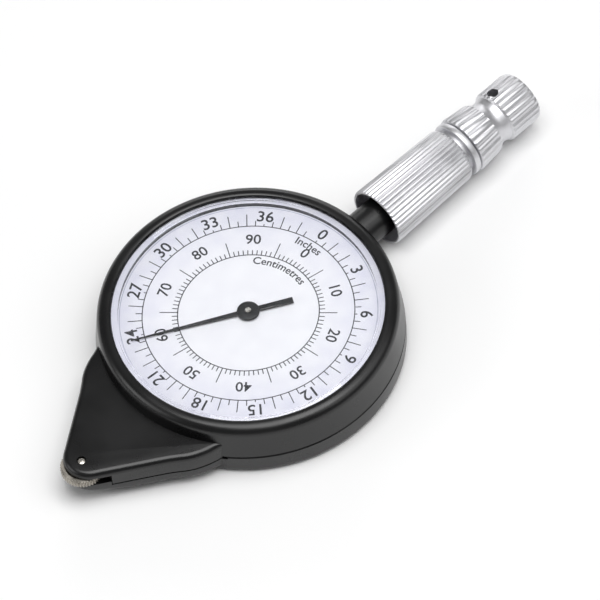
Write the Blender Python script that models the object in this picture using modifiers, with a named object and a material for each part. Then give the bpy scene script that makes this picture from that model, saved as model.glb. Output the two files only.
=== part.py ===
"""A map measuring wheel. A toothed wheel at the nose turns a pointer over a dial through three pairs of
gears.

The case lies on its flat back at Z 0, with the dial's axis on Z. The nose points to -X and the handle to +X.
"""
import math

import bmesh
import bpy
from mathutils import Matrix

MM = 0.001

# Clearances
SEAT = 0.05 * MM            # between pieces that rest on each other or press into each other
RUN = 0.06 * MM             # between a shaft and its bearing, on the radius
FREE = 0.15 * MM            # between pieces that pass each other

# Round case: walls, seam and bezel
CASE_RADIUS = 22.0 * MM     # under the bezel
CASE_BASE_RADIUS = 22.5 * MM   # at the seam and below
CASE_WALL = 1.3 * MM
CASE_FLOOR = 1.2 * MM
SEAM_Z = 3.6 * MM
SEAM_STEP = 0.4 * MM        # the seam is this much lower along the nose
SEAM_STEP_OFFSET = 4.0 * MM
SEAM_GAP = 0.1 * MM
BEZEL_WIDTH = 2.13 * MM
BEZEL_RISE = 0.3 * MM       # over the crystal
BEZEL_FILLET = 1.5 * MM
BEZEL_CHAMFER = 0.25 * MM
BACK_FILLET = 1.0 * MM
LIP_HEIGHT = 0.7 * MM       # the lower case's locating lip
LIP_WALL = 0.7 * MM
LEDGE_WIDTH = 1.45 * MM     # the dial's seat
LEDGE_THICKNESS = 0.5 * MM

# Gear train. A turn of the pointer is 1 m of travel, so the ratio sets the wheel's size
TRAVEL_PER_POINTER_TURN = 1000 * MM
WHEEL_PINION_TEETH = 10
FIRST_GEAR_TEETH = 30
FIRST_PINION_TEETH = 10
SECOND_GEAR_TEETH = 50
SECOND_PINION_TEETH = 12
CENTRE_GEAR_TEETH = 40
PRESSURE_ANGLE = math.radians(20)
ADDENDUM = 0.80             # in modules
DEDENDUM = 1.15             # in modules
TOOTH_SHARE = 0.44          # of the pitch; the rest is the gap, with its backlash
UNDERCUT_TEETH = 17         # gears with more teeth have straight flanks here
FIRST_MODULE = 0.25 * MM
SECOND_MODULE = 0.35 * MM
MODULE_STEP = 0.05 * MM
RIM_ROOM = 6.1 * MM         # from the centre gear to the wall, for the posts, bosses and lip
FIRST_GEAR_THICKNESS = 1.0 * MM
SECOND_GEAR_THICKNESS = 0.9 * MM
CENTRE_GEAR_THICKNESS = 1.0 * MM
WHEEL_THICKNESS = 1.1 * MM
WHEEL_TEETH = 44
WHEEL_TOOTH_DEPTH = 0.22 * MM

# Bearings
BOSS_RISE = 0.65 * MM       # of a bearing boss over the floor
BOSS_RADIUS = 1.2 * MM
ARBOR_RADIUS = 0.5 * MM
ARBOR_BLIND = 0.6 * MM      # floor or roof left behind an arbor's hole
NOSE_ARBOR_BLIND = 0.3 * MM   # the same in the nose's thinner floor
PIN_BLIND = 0.45 * MM
WHEEL_PIN_RADIUS = 0.5 * MM
WHEEL_PIN_HEAD_RADIUS = 0.65 * MM
WHEEL_PIN_HEAD_HEIGHT = 0.35 * MM
WHEEL_PIN_RECESS = 0.1 * MM
CENTRE_ARBOR_RADIUS = 0.6 * MM
CENTRE_ARBOR_TIP_RADIUS = 0.45 * MM
CENTRE_HUB_RADIUS = 2.0 * MM
CENTRE_HUB_HEIGHT = 0.9 * MM
BUSH_WALL = 0.65 * MM
BUSH_FLANGE_RADIUS = 1.9 * MM
BUSH_FLANGE_THICKNESS = 0.5 * MM
BUSH_RISE = 0.3 * MM        # over the plate
PLATE_THICKNESS = 0.8 * MM
PLATE_EAR_RADIUS = 1.6 * MM

# Posts, bosses and screws
POST_RADIUS = 1.3 * MM
POST_ANGLES = (0, 90, 270)
CASE_BOSS_RADIUS = 1.5 * MM
CASE_BOSS_ANGLES = (48, 122, 238, 312)
RIB_THICKNESS = 1.0 * MM
SCREW_RADIUS = 0.5 * MM
SCREW_HEAD_RADIUS = 1.1 * MM
SCREW_HEAD_HEIGHT = 0.45 * MM
SCREW_RECESS = 0.1 * MM     # of a head below the back
SCREW_LENGTH = 3.4 * MM
SLOT_WIDTH = 0.3 * MM
SLOT_DEPTH = 0.2 * MM

# Dial, crystal and pointer
DIAL_THICKNESS = 0.4 * MM
DIAL_UNDERSIDE_ROOM = 0.35 * MM
POINTER_GAP = 0.25 * MM
POINTER_THICKNESS = 0.25 * MM
POINTER_HUB_RADIUS = 1.65 * MM
POINTER_HUB_HEIGHT = 0.4 * MM
POINTER_REACH = 17.5 * MM
POINTER_TAIL = 6.7 * MM
POINTER_ROOT_HALF_WIDTH = 0.42 * MM
POINTER_TAIL_HALF_WIDTH = 0.5 * MM
POINTER_TIP_HALF_WIDTH = 0.06 * MM
POINTER_ANGLE = math.radians(149.8)
CRYSTAL_THICKNESS = 0.6 * MM
CRYSTAL_SKIRT = 0.9 * MM
CRYSTAL_BEVEL = 0.6 * MM
CRYSTAL_BEVEL_DROP = 0.35 * MM

# Nose
NOSE_WALL = 1.0 * MM
NOSE_ROOF = 1.05 * MM
NOSE_FLOOR = 0.65 * MM
NOSE_ROOM = 0.35 * MM       # between the gears and the nose's walls
NOSE_TIP_RADIUS = 3.8 * MM
NOSE_TIP_OFFSET = 1.5 * MM  # of the tip's centre behind the wheel's axis
NOSE_FLARE_OFFSET = 4.0 * MM
NOSE_FLARE_RADIUS = 24.0 * MM
NOSE_FLARE_END = math.radians(48)
NOSE_OVERLAP = 4.8 * MM     # of the nose into the round case
NOSE_TOP_ROUND = 0.9 * MM
NOSE_BACK_Z = 1.15 * MM     # the nose's back stands clear of what the case lies on
NOSE_BACK_ROUND = 0.9 * MM
NOSE_BACK_SLOPE = math.radians(12)
NOSE_BACK_SLOPE_OFFSET = 3.7 * MM
SLOT_MOUTH_OFFSET = 1.5 * MM   # the tip's side walls are open in front of this

# Handle
HANDLE_RAISE = 0.1 * MM     # of its axis over the middle of the case
STEM_RADIUS = 2.85 * MM
STEM_SHOWN = 3.9 * MM
STEM_SEAT_DEPTH = 0.7 * MM
STEM_SCREW_RADIUS = 1.0 * MM
STEM_SCREW_HEAD_RADIUS = 1.75 * MM
STEM_SCREW_HEAD_HEIGHT = 1.0 * MM
STEM_SCREW_LENGTH = 6.0 * MM
BARREL_LENGTH = 15.7 * MM
BARREL_RADIUS = 4.75 * MM
BARREL_END_RADIUS = 4.42 * MM
BARREL_ROUND = 0.6 * MM
BARREL_RIBS = 40
BARREL_RIB_DEPTH = 0.2 * MM
BARREL_LIP_WALL = 0.28 * MM
BARREL_MOUTH_DEPTH = 2.2 * MM
BARREL_END_WALL = 1.3 * MM
PLUG_WALL = 0.6 * MM
PLUG_LENGTH = 6.5 * MM
RING_NECK_RADIUS = 3.5 * MM
RING_NECK_LENGTH = 0.5 * MM
RING_RADIUS = 4.42 * MM
RING_LENGTH = 1.0 * MM
RING_ROUND = 0.2 * MM
CAP_RIBS = 24
CAP_RIB_DEPTH = 0.22 * MM
COLLAR_RADIUS = 4.6 * MM
COLLAR_END_RADIUS = 4.25 * MM
COLLAR_LENGTH = 4.2 * MM
CAP_CHAMFER = 0.4 * MM
WAIST_RADIUS = 3.5 * MM
WAIST_LENGTH = 3.1 * MM
KNOB_RADIUS = 4.15 * MM
KNOB_LENGTH = 5.5 * MM
KNOB_ROUND = 0.8 * MM
LANYARD_HOLE_RADIUS = 0.85 * MM
LANYARD_HOLE_OFFSET = 0.95 * MM
LANYARD_HOLE_TILT = math.radians(19)
SWIVEL_RADIUS = 1.0 * MM
SWIVEL_HEAD_RADIUS = 2.6 * MM
SWIVEL_HEAD_HEIGHT = 1.2 * MM
SWIVEL_DEPTH = 5.0 * MM     # of its screw in the end cap

CASE_STEPS = 56
SMALL_SIDES = 16

# Radii and places that follow from the sizes above
CAVITY_RADIUS = CASE_RADIUS - CASE_WALL
WINDOW_RADIUS = CASE_RADIUS - BEZEL_WIDTH
LEDGE_RADIUS = WINDOW_RADIUS - LEDGE_WIDTH
LIP_RADIUS = CAVITY_RADIUS - 2 * SEAT
CENTRE_GEAR_SPACE = CAVITY_RADIUS - RIM_ROOM
THIRD_MODULE = MODULE_STEP * math.floor(CENTRE_GEAR_SPACE / (CENTRE_GEAR_TEETH / 2 + ADDENDUM) / MODULE_STEP)
SECOND_X = -THIRD_MODULE * (SECOND_PINION_TEETH + CENTRE_GEAR_TEETH) / 2
FIRST_X = SECOND_X - SECOND_MODULE * (FIRST_PINION_TEETH + SECOND_GEAR_TEETH) / 2
WHEEL_X = FIRST_X - FIRST_MODULE * (WHEEL_PINION_TEETH + FIRST_GEAR_TEETH) / 2
TRAIN_RATIO = (
    FIRST_GEAR_TEETH / WHEEL_PINION_TEETH
    * SECOND_GEAR_TEETH / FIRST_PINION_TEETH
    * CENTRE_GEAR_TEETH / SECOND_PINION_TEETH
)
WHEEL_RADIUS = TRAVEL_PER_POINTER_TURN / TRAIN_RATIO / (2 * math.pi)
FIRST_GEAR_TIP = FIRST_MODULE * (FIRST_GEAR_TEETH / 2 + ADDENDUM)
SECOND_GEAR_TIP = SECOND_MODULE * (SECOND_GEAR_TEETH / 2 + ADDENDUM)
WHEEL_PINION_TIP = FIRST_MODULE * (WHEEL_PINION_TEETH / 2 + ADDENDUM)
CASE_BOSS_CIRCLE = LIP_RADIUS - LIP_WALL - FREE - CASE_BOSS_RADIUS
POST_CIRCLE = CASE_BOSS_CIRCLE - CASE_BOSS_RADIUS
FIRST_PINION_TIP = SECOND_MODULE * (FIRST_PINION_TEETH / 2 + ADDENDUM)
SCREW_HOLE = SCREW_RADIUS + SEAT

# Heights that follow, from the back upwards
NOSE_SEAM_Z = SEAM_Z - SEAM_STEP
BOSS_TOP = CASE_FLOOR + BOSS_RISE
SECOND_GEAR_Z = BOSS_TOP + 2 * SEAT
FIRST_GEAR_Z = SECOND_GEAR_Z + SECOND_GEAR_THICKNESS + FREE
CENTRE_GEAR_Z = FIRST_GEAR_Z
CENTRE_GEAR_TOP = CENTRE_GEAR_Z + CENTRE_GEAR_THICKNESS
SECOND_PINION_TOP = CENTRE_GEAR_TOP + FREE
WHEEL_Z = FIRST_GEAR_Z + FIRST_GEAR_THICKNESS + FREE
NOSE_CEILING = WHEEL_Z + WHEEL_THICKNESS + FREE
NOSE_TOP = NOSE_CEILING + NOSE_ROOF
BUSH_Z = CENTRE_GEAR_TOP + CENTRE_HUB_HEIGHT + FREE
PLATE_Z = BUSH_Z + BUSH_FLANGE_THICKNESS + SEAT
PLATE_TOP = PLATE_Z + PLATE_THICKNESS
DIAL_Z = PLATE_TOP + SEAT + SCREW_HEAD_HEIGHT + DIAL_UNDERSIDE_ROOM
DIAL_TOP = DIAL_Z + DIAL_THICKNESS
LEDGE_TOP = DIAL_Z - SEAT
LEDGE_UNDERSIDE = LEDGE_TOP - LEDGE_THICKNESS
POINTER_Z = DIAL_TOP + POINTER_GAP
ARBOR_TOP = POINTER_Z + POINTER_HUB_HEIGHT + SEAT
CRYSTAL_UNDERSIDE = ARBOR_TOP + FREE
CRYSTAL_TOP = CRYSTAL_UNDERSIDE + CRYSTAL_THICKNESS
CASE_HEIGHT = CRYSTAL_TOP + BEZEL_RISE
HANDLE_Z = CASE_HEIGHT / 2 + HANDLE_RAISE

# Nose and handle places that follow
TIP_X = WHEEL_X + NOSE_TIP_OFFSET
SLOT_MOUTH_X = WHEEL_X + SLOT_MOUTH_OFFSET
SEAM_STEP_X = -CASE_RADIUS + SEAM_STEP_OFFSET
NOSE_END_X = -CASE_RADIUS + NOSE_OVERLAP
NOSE_SLOPE = max(
    math.asin((tip + NOSE_ROOM + NOSE_WALL - NOSE_TIP_RADIUS) / (x - TIP_X))
    for tip, x in ((FIRST_GEAR_TIP, FIRST_X), (SECOND_GEAR_TIP, SECOND_X))
)
PIN_FOOT_Z = NOSE_BACK_Z + NOSE_BACK_SLOPE_OFFSET * math.tan(NOSE_BACK_SLOPE) + PIN_BLIND
STEM_SEAT_X = CASE_RADIUS - STEM_SEAT_DEPTH
BARREL_X = CASE_RADIUS + STEM_SHOWN
BARREL_BORE = STEM_RADIUS + SEAT + PLUG_WALL + SEAT
PLUG_X = BARREL_X + BARREL_MOUTH_DEPTH + FREE
STEM_END_X = PLUG_X + PLUG_LENGTH - SEAT
RING_X = BARREL_X + BARREL_LENGTH + FREE
CAP_X = RING_X + RING_NECK_LENGTH + RING_LENGTH + FREE

parts = bpy.data.collections.new("map_measuring_wheel")
cutters = bpy.data.collections.new("cutters")


# ---- Helpers

def clear_scene():
    for thing in list(bpy.data.objects):
        bpy.data.objects.remove(thing)
    bpy.context.scene.collection.children.link(parts)
    bpy.context.scene.collection.children.link(cutters)


def material(name, colour, roughness, metallic=0.0, transmission=0.0):
    made = bpy.data.materials.new(name)
    made.use_nodes = True
    shader = made.node_tree.nodes["Principled BSDF"]
    shader.inputs["Base Color"].default_value = (*colour, 1.0)
    shader.inputs["Roughness"].default_value = roughness
    shader.inputs["Metallic"].default_value = metallic
    shader.inputs["Transmission Weight"].default_value = transmission
    made.diffuse_color = (*colour, 1.0)
    return made


def add_object(name, mesh, look=None):
    """Puts a mesh in the scene, as a part if it has a material and as a cutter if it has none."""
    made = bpy.data.objects.new(name, mesh)
    if look is None:
        cutters.objects.link(made)
        made.hide_render = True
        made.display_type = "WIRE"
    else:
        parts.objects.link(made)
        mesh.materials.append(look)
    return made


def mesh_of(name, shape):
    mesh = bpy.data.meshes.new(name)
    shape.to_mesh(mesh)
    shape.free()
    mesh.shade_smooth()
    mesh.set_sharp_from_angle(angle=math.radians(30))
    return mesh


def place(thing, x=0.0, y=0.0, z=0.0):
    thing.location = (x, y, z)
    return thing


def lay(thing, x, towards=1):
    """Lays an upright piece on the handle's axis, with its foot at x and its top towards +X, or -X for -1."""
    thing.location = (x, 0, HANDLE_Z)
    thing.rotation_euler.y = math.pi / 2 * towards
    return thing


def cylinder(name, radius, low, high, look=None, sides=SMALL_SIDES):
    """An upright round bar between two heights."""
    shape = bmesh.new()
    bmesh.ops.create_cone(
        shape, cap_ends=True, segments=sides, radius1=radius, radius2=radius, depth=high - low,
        matrix=Matrix.Translation((0, 0, (low + high) / 2)),
    )
    return add_object(name, mesh_of(name, shape), look)


def box(name, low, high, look=None):
    shape = bmesh.new()
    bmesh.ops.create_cube(shape, size=1.0)
    bmesh.ops.scale(shape, vec=[b - a for a, b in zip(low, high)], verts=shape.verts)
    bmesh.ops.translate(shape, vec=[(a + b) / 2 for a, b in zip(low, high)], verts=shape.verts)
    return add_object(name, mesh_of(name, shape), look)


def turned(name, profile, look=None, steps=CASE_STEPS):
    """A profile of (radius, height) points, down its outer side, spun about Z.

    A profile that doesn't reach the axis is a closed loop.
    """
    edges = [(i, i + 1) for i in range(len(profile) - 1)]
    if profile[0][0] > 0:
        edges.append((len(profile) - 1, 0))
    mesh = bpy.data.meshes.new(name)
    mesh.from_pydata([(radius, 0, height) for radius, height in profile], edges, [])
    made = add_object(name, mesh, look)
    spin = made.modifiers.new("Spin", "SCREW")
    spin.steps = spin.render_steps = steps
    spin.use_merge_vertices = True
    spin.merge_threshold = 0.00001
    return made


def arc(centre, radius, start, end, points):
    """Points along an arc between two angles in radians, both ends included."""
    angles = [start + (end - start) * i / (points - 1) for i in range(points)]
    return [(centre[0] + radius * math.cos(a), centre[1] + radius * math.sin(a)) for a in angles]


def flat(name, outline, low, high, look=None):
    """A plate of one closed outline between two heights."""
    curve = bpy.data.curves.new(name, "CURVE")
    curve.dimensions = "2D"
    curve.fill_mode = "BOTH"
    curve.extrude = (high - low) / 2
    spline = curve.splines.new("POLY")
    spline.points.add(len(outline) - 1)
    for point, (x, y) in zip(spline.points, outline):
        point.co = (x, y, 0, 1)
    spline.use_cyclic_u = True
    guide = bpy.data.objects.new(name + "_curve", curve)
    cutters.objects.link(guide)
    bpy.context.view_layer.update()
    filled = bpy.data.meshes.new_from_object(guide.evaluated_get(bpy.context.evaluated_depsgraph_get()))
    bpy.data.objects.remove(guide)
    shape = bmesh.new()
    shape.from_mesh(filled)
    bpy.data.meshes.remove(filled)
    bmesh.ops.remove_doubles(shape, verts=shape.verts, dist=0.001 * MM)
    bmesh.ops.recalc_face_normals(shape, faces=shape.faces)
    bmesh.ops.translate(shape, vec=(0, 0, (low + high) / 2), verts=shape.verts)
    return add_object(name, mesh_of(name, shape), look)


def combine(target, others, operation):
    for other in others:
        step = target.modifiers.new(other.name, "BOOLEAN")
        step.operation = operation
        step.object = other
        step.solver = "EXACT"


def join(target, *others):
    combine(target, others, "UNION")


def cut(target, *others):
    combine(target, others, "DIFFERENCE")


def around(radius, degrees):
    """The point at a radius and an angle from the dial's centre."""
    return radius * math.cos(math.radians(degrees)), radius * math.sin(math.radians(degrees))


def ribbed(name, sections, ribs, look=None):
    """An upright ribbed bar. Each section is (height, radius over the ribs, depth of the grooves)."""
    shape = bmesh.new()
    bmesh.ops.create_circle(shape, cap_ends=True, segments=2 * ribs, radius=1.0)
    shape.faces.ensure_lookup_table()
    start = end = shape.faces[0]

    def set_section(face, section):
        height, radius, depth = section
        for vert in face.verts:
            angle = math.atan2(vert.co.y, vert.co.x)
            groove = round(angle * ribs / math.pi) % 2
            reach = radius - depth * groove
            vert.co = (reach * math.cos(angle), reach * math.sin(angle), height)

    set_section(end, sections[0])
    for section in sections[1:]:
        grown = bmesh.ops.extrude_face_region(shape, geom=[end])
        if end is not start:
            shape.faces.remove(end)
        end = next(piece for piece in grown["geom"] if isinstance(piece, bmesh.types.BMFace))
        set_section(end, section)
    bmesh.ops.recalc_face_normals(shape, faces=shape.faces)
    return add_object(name, mesh_of(name, shape), look)


def toothed(teeth, module, first_tooth=0.0):
    """The outline of an involute gear, with the middle of one tooth at the angle first_tooth."""
    pitch_radius = teeth * module / 2
    base_radius = pitch_radius * math.cos(PRESSURE_ANGLE)
    tip_radius = pitch_radius + ADDENDUM * module
    root_radius = pitch_radius - DEDENDUM * module

    def involute(radius):
        angle = math.acos(min(1.0, base_radius / radius))
        return math.tan(angle) - angle

    def half_width(radius):
        """Half of the tooth at a radius, as an angle. Below the base circle the flank is radial."""
        return TOOTH_SHARE * math.pi / teeth + involute(pitch_radius) - involute(max(radius, base_radius))

    radii = [root_radius, tip_radius]
    if teeth <= UNDERCUT_TEETH:
        radii = [root_radius, base_radius, (base_radius + tip_radius) / 2, tip_radius]
    outline = []
    for tooth in range(teeth):
        middle = first_tooth + 2 * math.pi * tooth / teeth
        rising = [(radius, middle - half_width(radius)) for radius in radii]
        falling = [(radius, middle + half_width(radius)) for radius in reversed(radii)]
        outline += [(r * math.cos(a), r * math.sin(a)) for r, a in rising + falling]
    return outline


def screw(name, look, radius, length, head_radius, head_height, slots=1):
    """An upright slotted screw, its head's underside at Z 0 and its shank below; two slots make a cross."""
    made = turned(
        name,
        [
            (0, head_height), (head_radius, head_height), (head_radius, 0),
            (radius, 0), (radius, -length), (0, -length),
        ],
        look, SMALL_SIDES,
    )
    for index in range(slots):
        slot = box(
            f"{name}_slot_{index + 1}", (-head_radius * 0.7, -SLOT_WIDTH / 2, head_height - SLOT_DEPTH),
            (head_radius * 0.7, SLOT_WIDTH / 2, head_height + SLOT_DEPTH),
        )
        slot.parent = made
        slot.rotation_euler.z = math.pi / 2 * index
        cut(made, slot)
    return made


# ---- Case

def nose_outline(inset=0.0):
    """The nose from above, set in by a wall: a round tip, straight flanks and a hollow flare."""
    tip = arc((TIP_X, 0), NOSE_TIP_RADIUS - inset, math.pi, math.pi / 2 + NOSE_SLOPE, 9)
    flare_x = -CASE_RADIUS - NOSE_FLARE_OFFSET
    tangent_x = TIP_X - NOSE_TIP_RADIUS * math.sin(NOSE_SLOPE)
    tangent_y = NOSE_TIP_RADIUS * math.cos(NOSE_SLOPE)
    flare_y = tangent_y + (flare_x - tangent_x) * math.tan(NOSE_SLOPE)
    centre = (
        flare_x - NOSE_FLARE_RADIUS * math.sin(NOSE_SLOPE),
        flare_y + NOSE_FLARE_RADIUS * math.cos(NOSE_SLOPE),
    )
    flare = arc(centre, NOSE_FLARE_RADIUS + inset, NOSE_SLOPE - math.pi / 2, NOSE_FLARE_END - math.pi / 2, 7)
    side = tip + flare + [(NOSE_END_X, flare[-1][1])]
    return side + [(x, -y) for x, y in reversed(side[1:])]


def nose_block(name, low, high, inset=0.0):
    return flat(name, nose_outline(inset), low, high)


def round_edges(block, width):
    bevel = block.modifiers.new("Rounded edges", "BEVEL")
    bevel.width = width
    bevel.segments = 2
    bevel.limit_method = "ANGLE"
    bevel.angle_limit = math.radians(60)


def make_upper_case(look):
    """The ring round the window and the roof of the nose, with the screw bosses."""
    fillet = arc((CASE_RADIUS - BEZEL_FILLET, CASE_HEIGHT - BEZEL_FILLET), BEZEL_FILLET, math.pi / 2, 0, 6)
    low = NOSE_SEAM_Z + SEAM_GAP / 2
    upper = turned("upper_case", [
        (0, CASE_HEIGHT), *fillet, (CASE_BASE_RADIUS, SEAM_Z), (CASE_BASE_RADIUS, low), (0, low),
    ], look)
    roof = nose_block("nose_roof", low - NOSE_TOP_ROUND, NOSE_TOP)
    round_edges(roof, NOSE_TOP_ROUND)
    join(upper, roof)

    over = CASE_HEIGHT + BEZEL_RISE
    flare = WINDOW_RADIUS + BEZEL_CHAMFER + BEZEL_RISE
    under = low - 2 * NOSE_TOP_ROUND
    cavity = turned("upper_cavity", [
        (0, over), (flare, over), (WINDOW_RADIUS, CASE_HEIGHT - BEZEL_CHAMFER), (WINDOW_RADIUS, LEDGE_TOP),
        (LEDGE_RADIUS, LEDGE_TOP), (LEDGE_RADIUS, LEDGE_UNDERSIDE), (CAVITY_RADIUS, LEDGE_UNDERSIDE),
        (CAVITY_RADIUS, under), (0, under),
    ])
    far = 2 * CASE_RADIUS
    below_nose = box("below_nose", (-far, -far, under), (far, far, low))
    below_ring = box("below_ring", (SEAM_STEP_X, -far, under), (far, far, SEAM_Z + SEAM_GAP / 2))
    hollow = nose_block("upper_nose_hollow", under, NOSE_CEILING, NOSE_WALL)
    mouth = box("slot_mouth", (-far, -far, under), (SLOT_MOUTH_X, far, NOSE_CEILING))
    wheel_room = place(
        cylinder("wheel_room", WHEEL_RADIUS + FREE, WHEEL_Z - FREE, NOSE_CEILING, sides=32), WHEEL_X
    )
    cut(upper, cavity, below_nose, below_ring, hollow, mouth, wheel_room)

    arbor_top = NOSE_TOP - ARBOR_BLIND
    hanging = FIRST_GEAR_Z + FIRST_GEAR_THICKNESS + SEAT
    join(upper, place(cylinder("upper_first_boss", BOSS_RADIUS, hanging, NOSE_CEILING + SEAT), FIRST_X))
    cut(
        upper,
        place(cylinder("upper_first_hole", ARBOR_RADIUS + SEAT, hanging - SEAT, arbor_top), FIRST_X),
        place(cylinder("pin_hole", WHEEL_PIN_RADIUS + SEAT, NOSE_CEILING - SEAT, NOSE_TOP + FREE), WHEEL_X),
        place(cylinder(
            "pin_recess", WHEEL_PIN_HEAD_RADIUS + SEAT,
            NOSE_TOP - WHEEL_PIN_RECESS - WHEEL_PIN_HEAD_HEIGHT - SEAT, NOSE_TOP + FREE,
        ), WHEEL_X),
    )
    for index, angle in enumerate(CASE_BOSS_ANGLES, 1):
        x, y = around(CASE_BOSS_CIRCLE, angle)
        boss = cylinder(f"case_boss_{index}", CASE_BOSS_RADIUS, CASE_FLOOR + SEAT, LEDGE_TOP - SEAT)
        rib_length = CAVITY_RADIUS + SEAT - CASE_BOSS_CIRCLE + CASE_WALL / 4
        rib = box(
            f"case_rib_{index}", (0, -RIB_THICKNESS / 2, SEAM_Z + LIP_HEIGHT + FREE),
            (rib_length, RIB_THICKNESS / 2, LEDGE_TOP - 2 * SEAT),
        )
        rib.rotation_euler.z = math.radians(angle)
        join(upper, place(boss, x, y), place(rib, x, y))
        hole_top = SCREW_RECESS + SCREW_HEAD_HEIGHT + SCREW_LENGTH + FREE
        cut(upper, place(cylinder(f"case_boss_hole_{index}", SCREW_HOLE, 0, hole_top), x, y))
    cut(upper, *stem_cutters("upper"))
    return upper


def stem_cutters(owner):
    """The stem's seat in the case's side, and the hole for its screw."""
    seat = cylinder(f"{owner}_stem_seat", STEM_RADIUS + SEAT, 0, 2 * STEM_SEAT_DEPTH, sides=32)
    hole = cylinder(f"{owner}_stem_screw_hole", STEM_SCREW_RADIUS + SEAT, -CASE_WALL, FREE)
    return lay(seat, STEM_SEAT_X - SEAT), lay(hole, STEM_SEAT_X)


def make_lower_case(look):
    """The back, with its locating lip, the posts for the plate and the lower bearings."""
    top = SEAM_Z - SEAM_GAP / 2
    nose_top = NOSE_SEAM_Z - SEAM_GAP / 2
    lip_inside = LIP_RADIUS - LIP_WALL
    fillet = arc((CASE_BASE_RADIUS - BACK_FILLET, BACK_FILLET), BACK_FILLET, 0, -math.pi / 2, 5)
    lower = turned("lower_case", [
        (0, CASE_FLOOR), (lip_inside, CASE_FLOOR), (lip_inside, SEAM_Z + LIP_HEIGHT),
        (LIP_RADIUS, SEAM_Z + LIP_HEIGHT), (LIP_RADIUS, top), (CASE_BASE_RADIUS, top), *fillet, (0, 0),
    ], look)
    far = 2 * CASE_RADIUS
    over = NOSE_CEILING
    cut(lower, box("above_nose", (-far, -far, nose_top), (SEAM_STEP_X + SEAM_GAP, far, over)))
    back = nose_block("nose_back", NOSE_BACK_Z, NOSE_TOP)
    slope = box("back_slope", (-far, -far, -far), (far, far, 0))
    slope.rotation_euler.y = NOSE_BACK_SLOPE
    cut(back, place(slope, WHEEL_X + NOSE_BACK_SLOPE_OFFSET, 0, NOSE_BACK_Z))
    round_edges(back, NOSE_BACK_ROUND)
    cut(
        back,
        box("above_tip", (-far, -far, WHEEL_Z - FREE), (far, far, NOSE_TOP + FREE)),
        box("above_back", (SLOT_MOUTH_X - SEAM_GAP, -far, nose_top), (far, far, over)),
    )
    join(lower, back)
    hollow = nose_block("lower_nose_hollow", NOSE_BACK_Z + NOSE_FLOOR, over, NOSE_WALL)
    cut(hollow, box("hollow_front", (-far, -far, 0), (FIRST_X - FIRST_PINION_TIP - FREE, far, over + FREE)))
    cut(lower, hollow)

    pocket_z = FIRST_GEAR_Z - 2 * SEAT
    cut(
        lower,
        place(cylinder("pinion_pocket", WHEEL_PINION_TIP + FREE, pocket_z, over), WHEEL_X),
        place(cylinder("first_gear_room", FIRST_GEAR_TIP + FREE, pocket_z, over, sides=32), FIRST_X),
        place(cylinder("pin_foot_hole", WHEEL_PIN_RADIUS + SEAT, PIN_FOOT_Z - SEAT, over), WHEEL_X),
    )

    centre_boss = cylinder("centre_boss", BOSS_RADIUS + SEAT + FREE, CASE_FLOOR - FREE, CENTRE_GEAR_Z - FREE)
    join(lower, centre_boss)
    cut(lower, cylinder("centre_foot_hole", CENTRE_ARBOR_RADIUS + RUN, ARBOR_BLIND, CENTRE_GEAR_Z))
    join(lower, place(cylinder("second_boss", BOSS_RADIUS, CASE_FLOOR - FREE, BOSS_TOP), SECOND_X))
    feet = (("first", FIRST_X, NOSE_BACK_Z + NOSE_ARBOR_BLIND), ("second", SECOND_X, ARBOR_BLIND))
    for name, x, foot in feet:
        cut(lower, place(cylinder(f"{name}_foot_hole", ARBOR_RADIUS + SEAT, foot, BOSS_TOP + SEAT), x))
    for index, angle in enumerate(POST_ANGLES, 1):
        x, y = around(POST_CIRCLE, angle)
        join(lower, place(cylinder(f"post_{index}", POST_RADIUS, CASE_FLOOR - FREE, PLATE_Z - SEAT), x, y))
        foot = PLATE_TOP + SEAT - SCREW_LENGTH - FREE
        cut(lower, place(cylinder(f"post_hole_{index}", SCREW_HOLE, foot, PLATE_Z), x, y))
    for index, angle in enumerate(CASE_BOSS_ANGLES, 1):
        x, y = around(CASE_BOSS_CIRCLE, angle)
        head_top = SCREW_RECESS + SCREW_HEAD_HEIGHT + SEAT
        cut(
            lower,
            place(cylinder(f"back_hole_{index}", SCREW_HOLE, 0, CASE_FLOOR + FREE), x, y),
            place(cylinder(f"back_recess_{index}", SCREW_HEAD_RADIUS + SEAT, -FREE, head_top), x, y),
        )
    head = STEM_SCREW_HEAD_RADIUS + FREE
    lip_gap = box("lip_gap", (lip_inside - FREE, -head, HANDLE_Z - head), (CAVITY_RADIUS, head, over))
    cut(lower, lip_gap, *stem_cutters("lower"))
    return lower


def make_crystal(look):
    """The clear window, with a skirt round its edge that stands on the dial."""
    edge = WINDOW_RADIUS - SEAT
    return turned("crystal", [
        (0, CRYSTAL_TOP), (edge - CRYSTAL_BEVEL, CRYSTAL_TOP), (edge, CRYSTAL_TOP - CRYSTAL_BEVEL_DROP),
        (edge, DIAL_TOP + SEAT), (edge - CRYSTAL_SKIRT, DIAL_TOP + SEAT),
        (edge - CRYSTAL_SKIRT, CRYSTAL_UNDERSIDE), (0, CRYSTAL_UNDERSIDE),
    ], look)


def make_dial(look):
    edge = WINDOW_RADIUS - SEAT
    hole = CENTRE_ARBOR_RADIUS + FREE
    return turned("dial", [(hole, DIAL_TOP), (edge, DIAL_TOP), (edge, DIAL_Z), (hole, DIAL_Z)], look)


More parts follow.
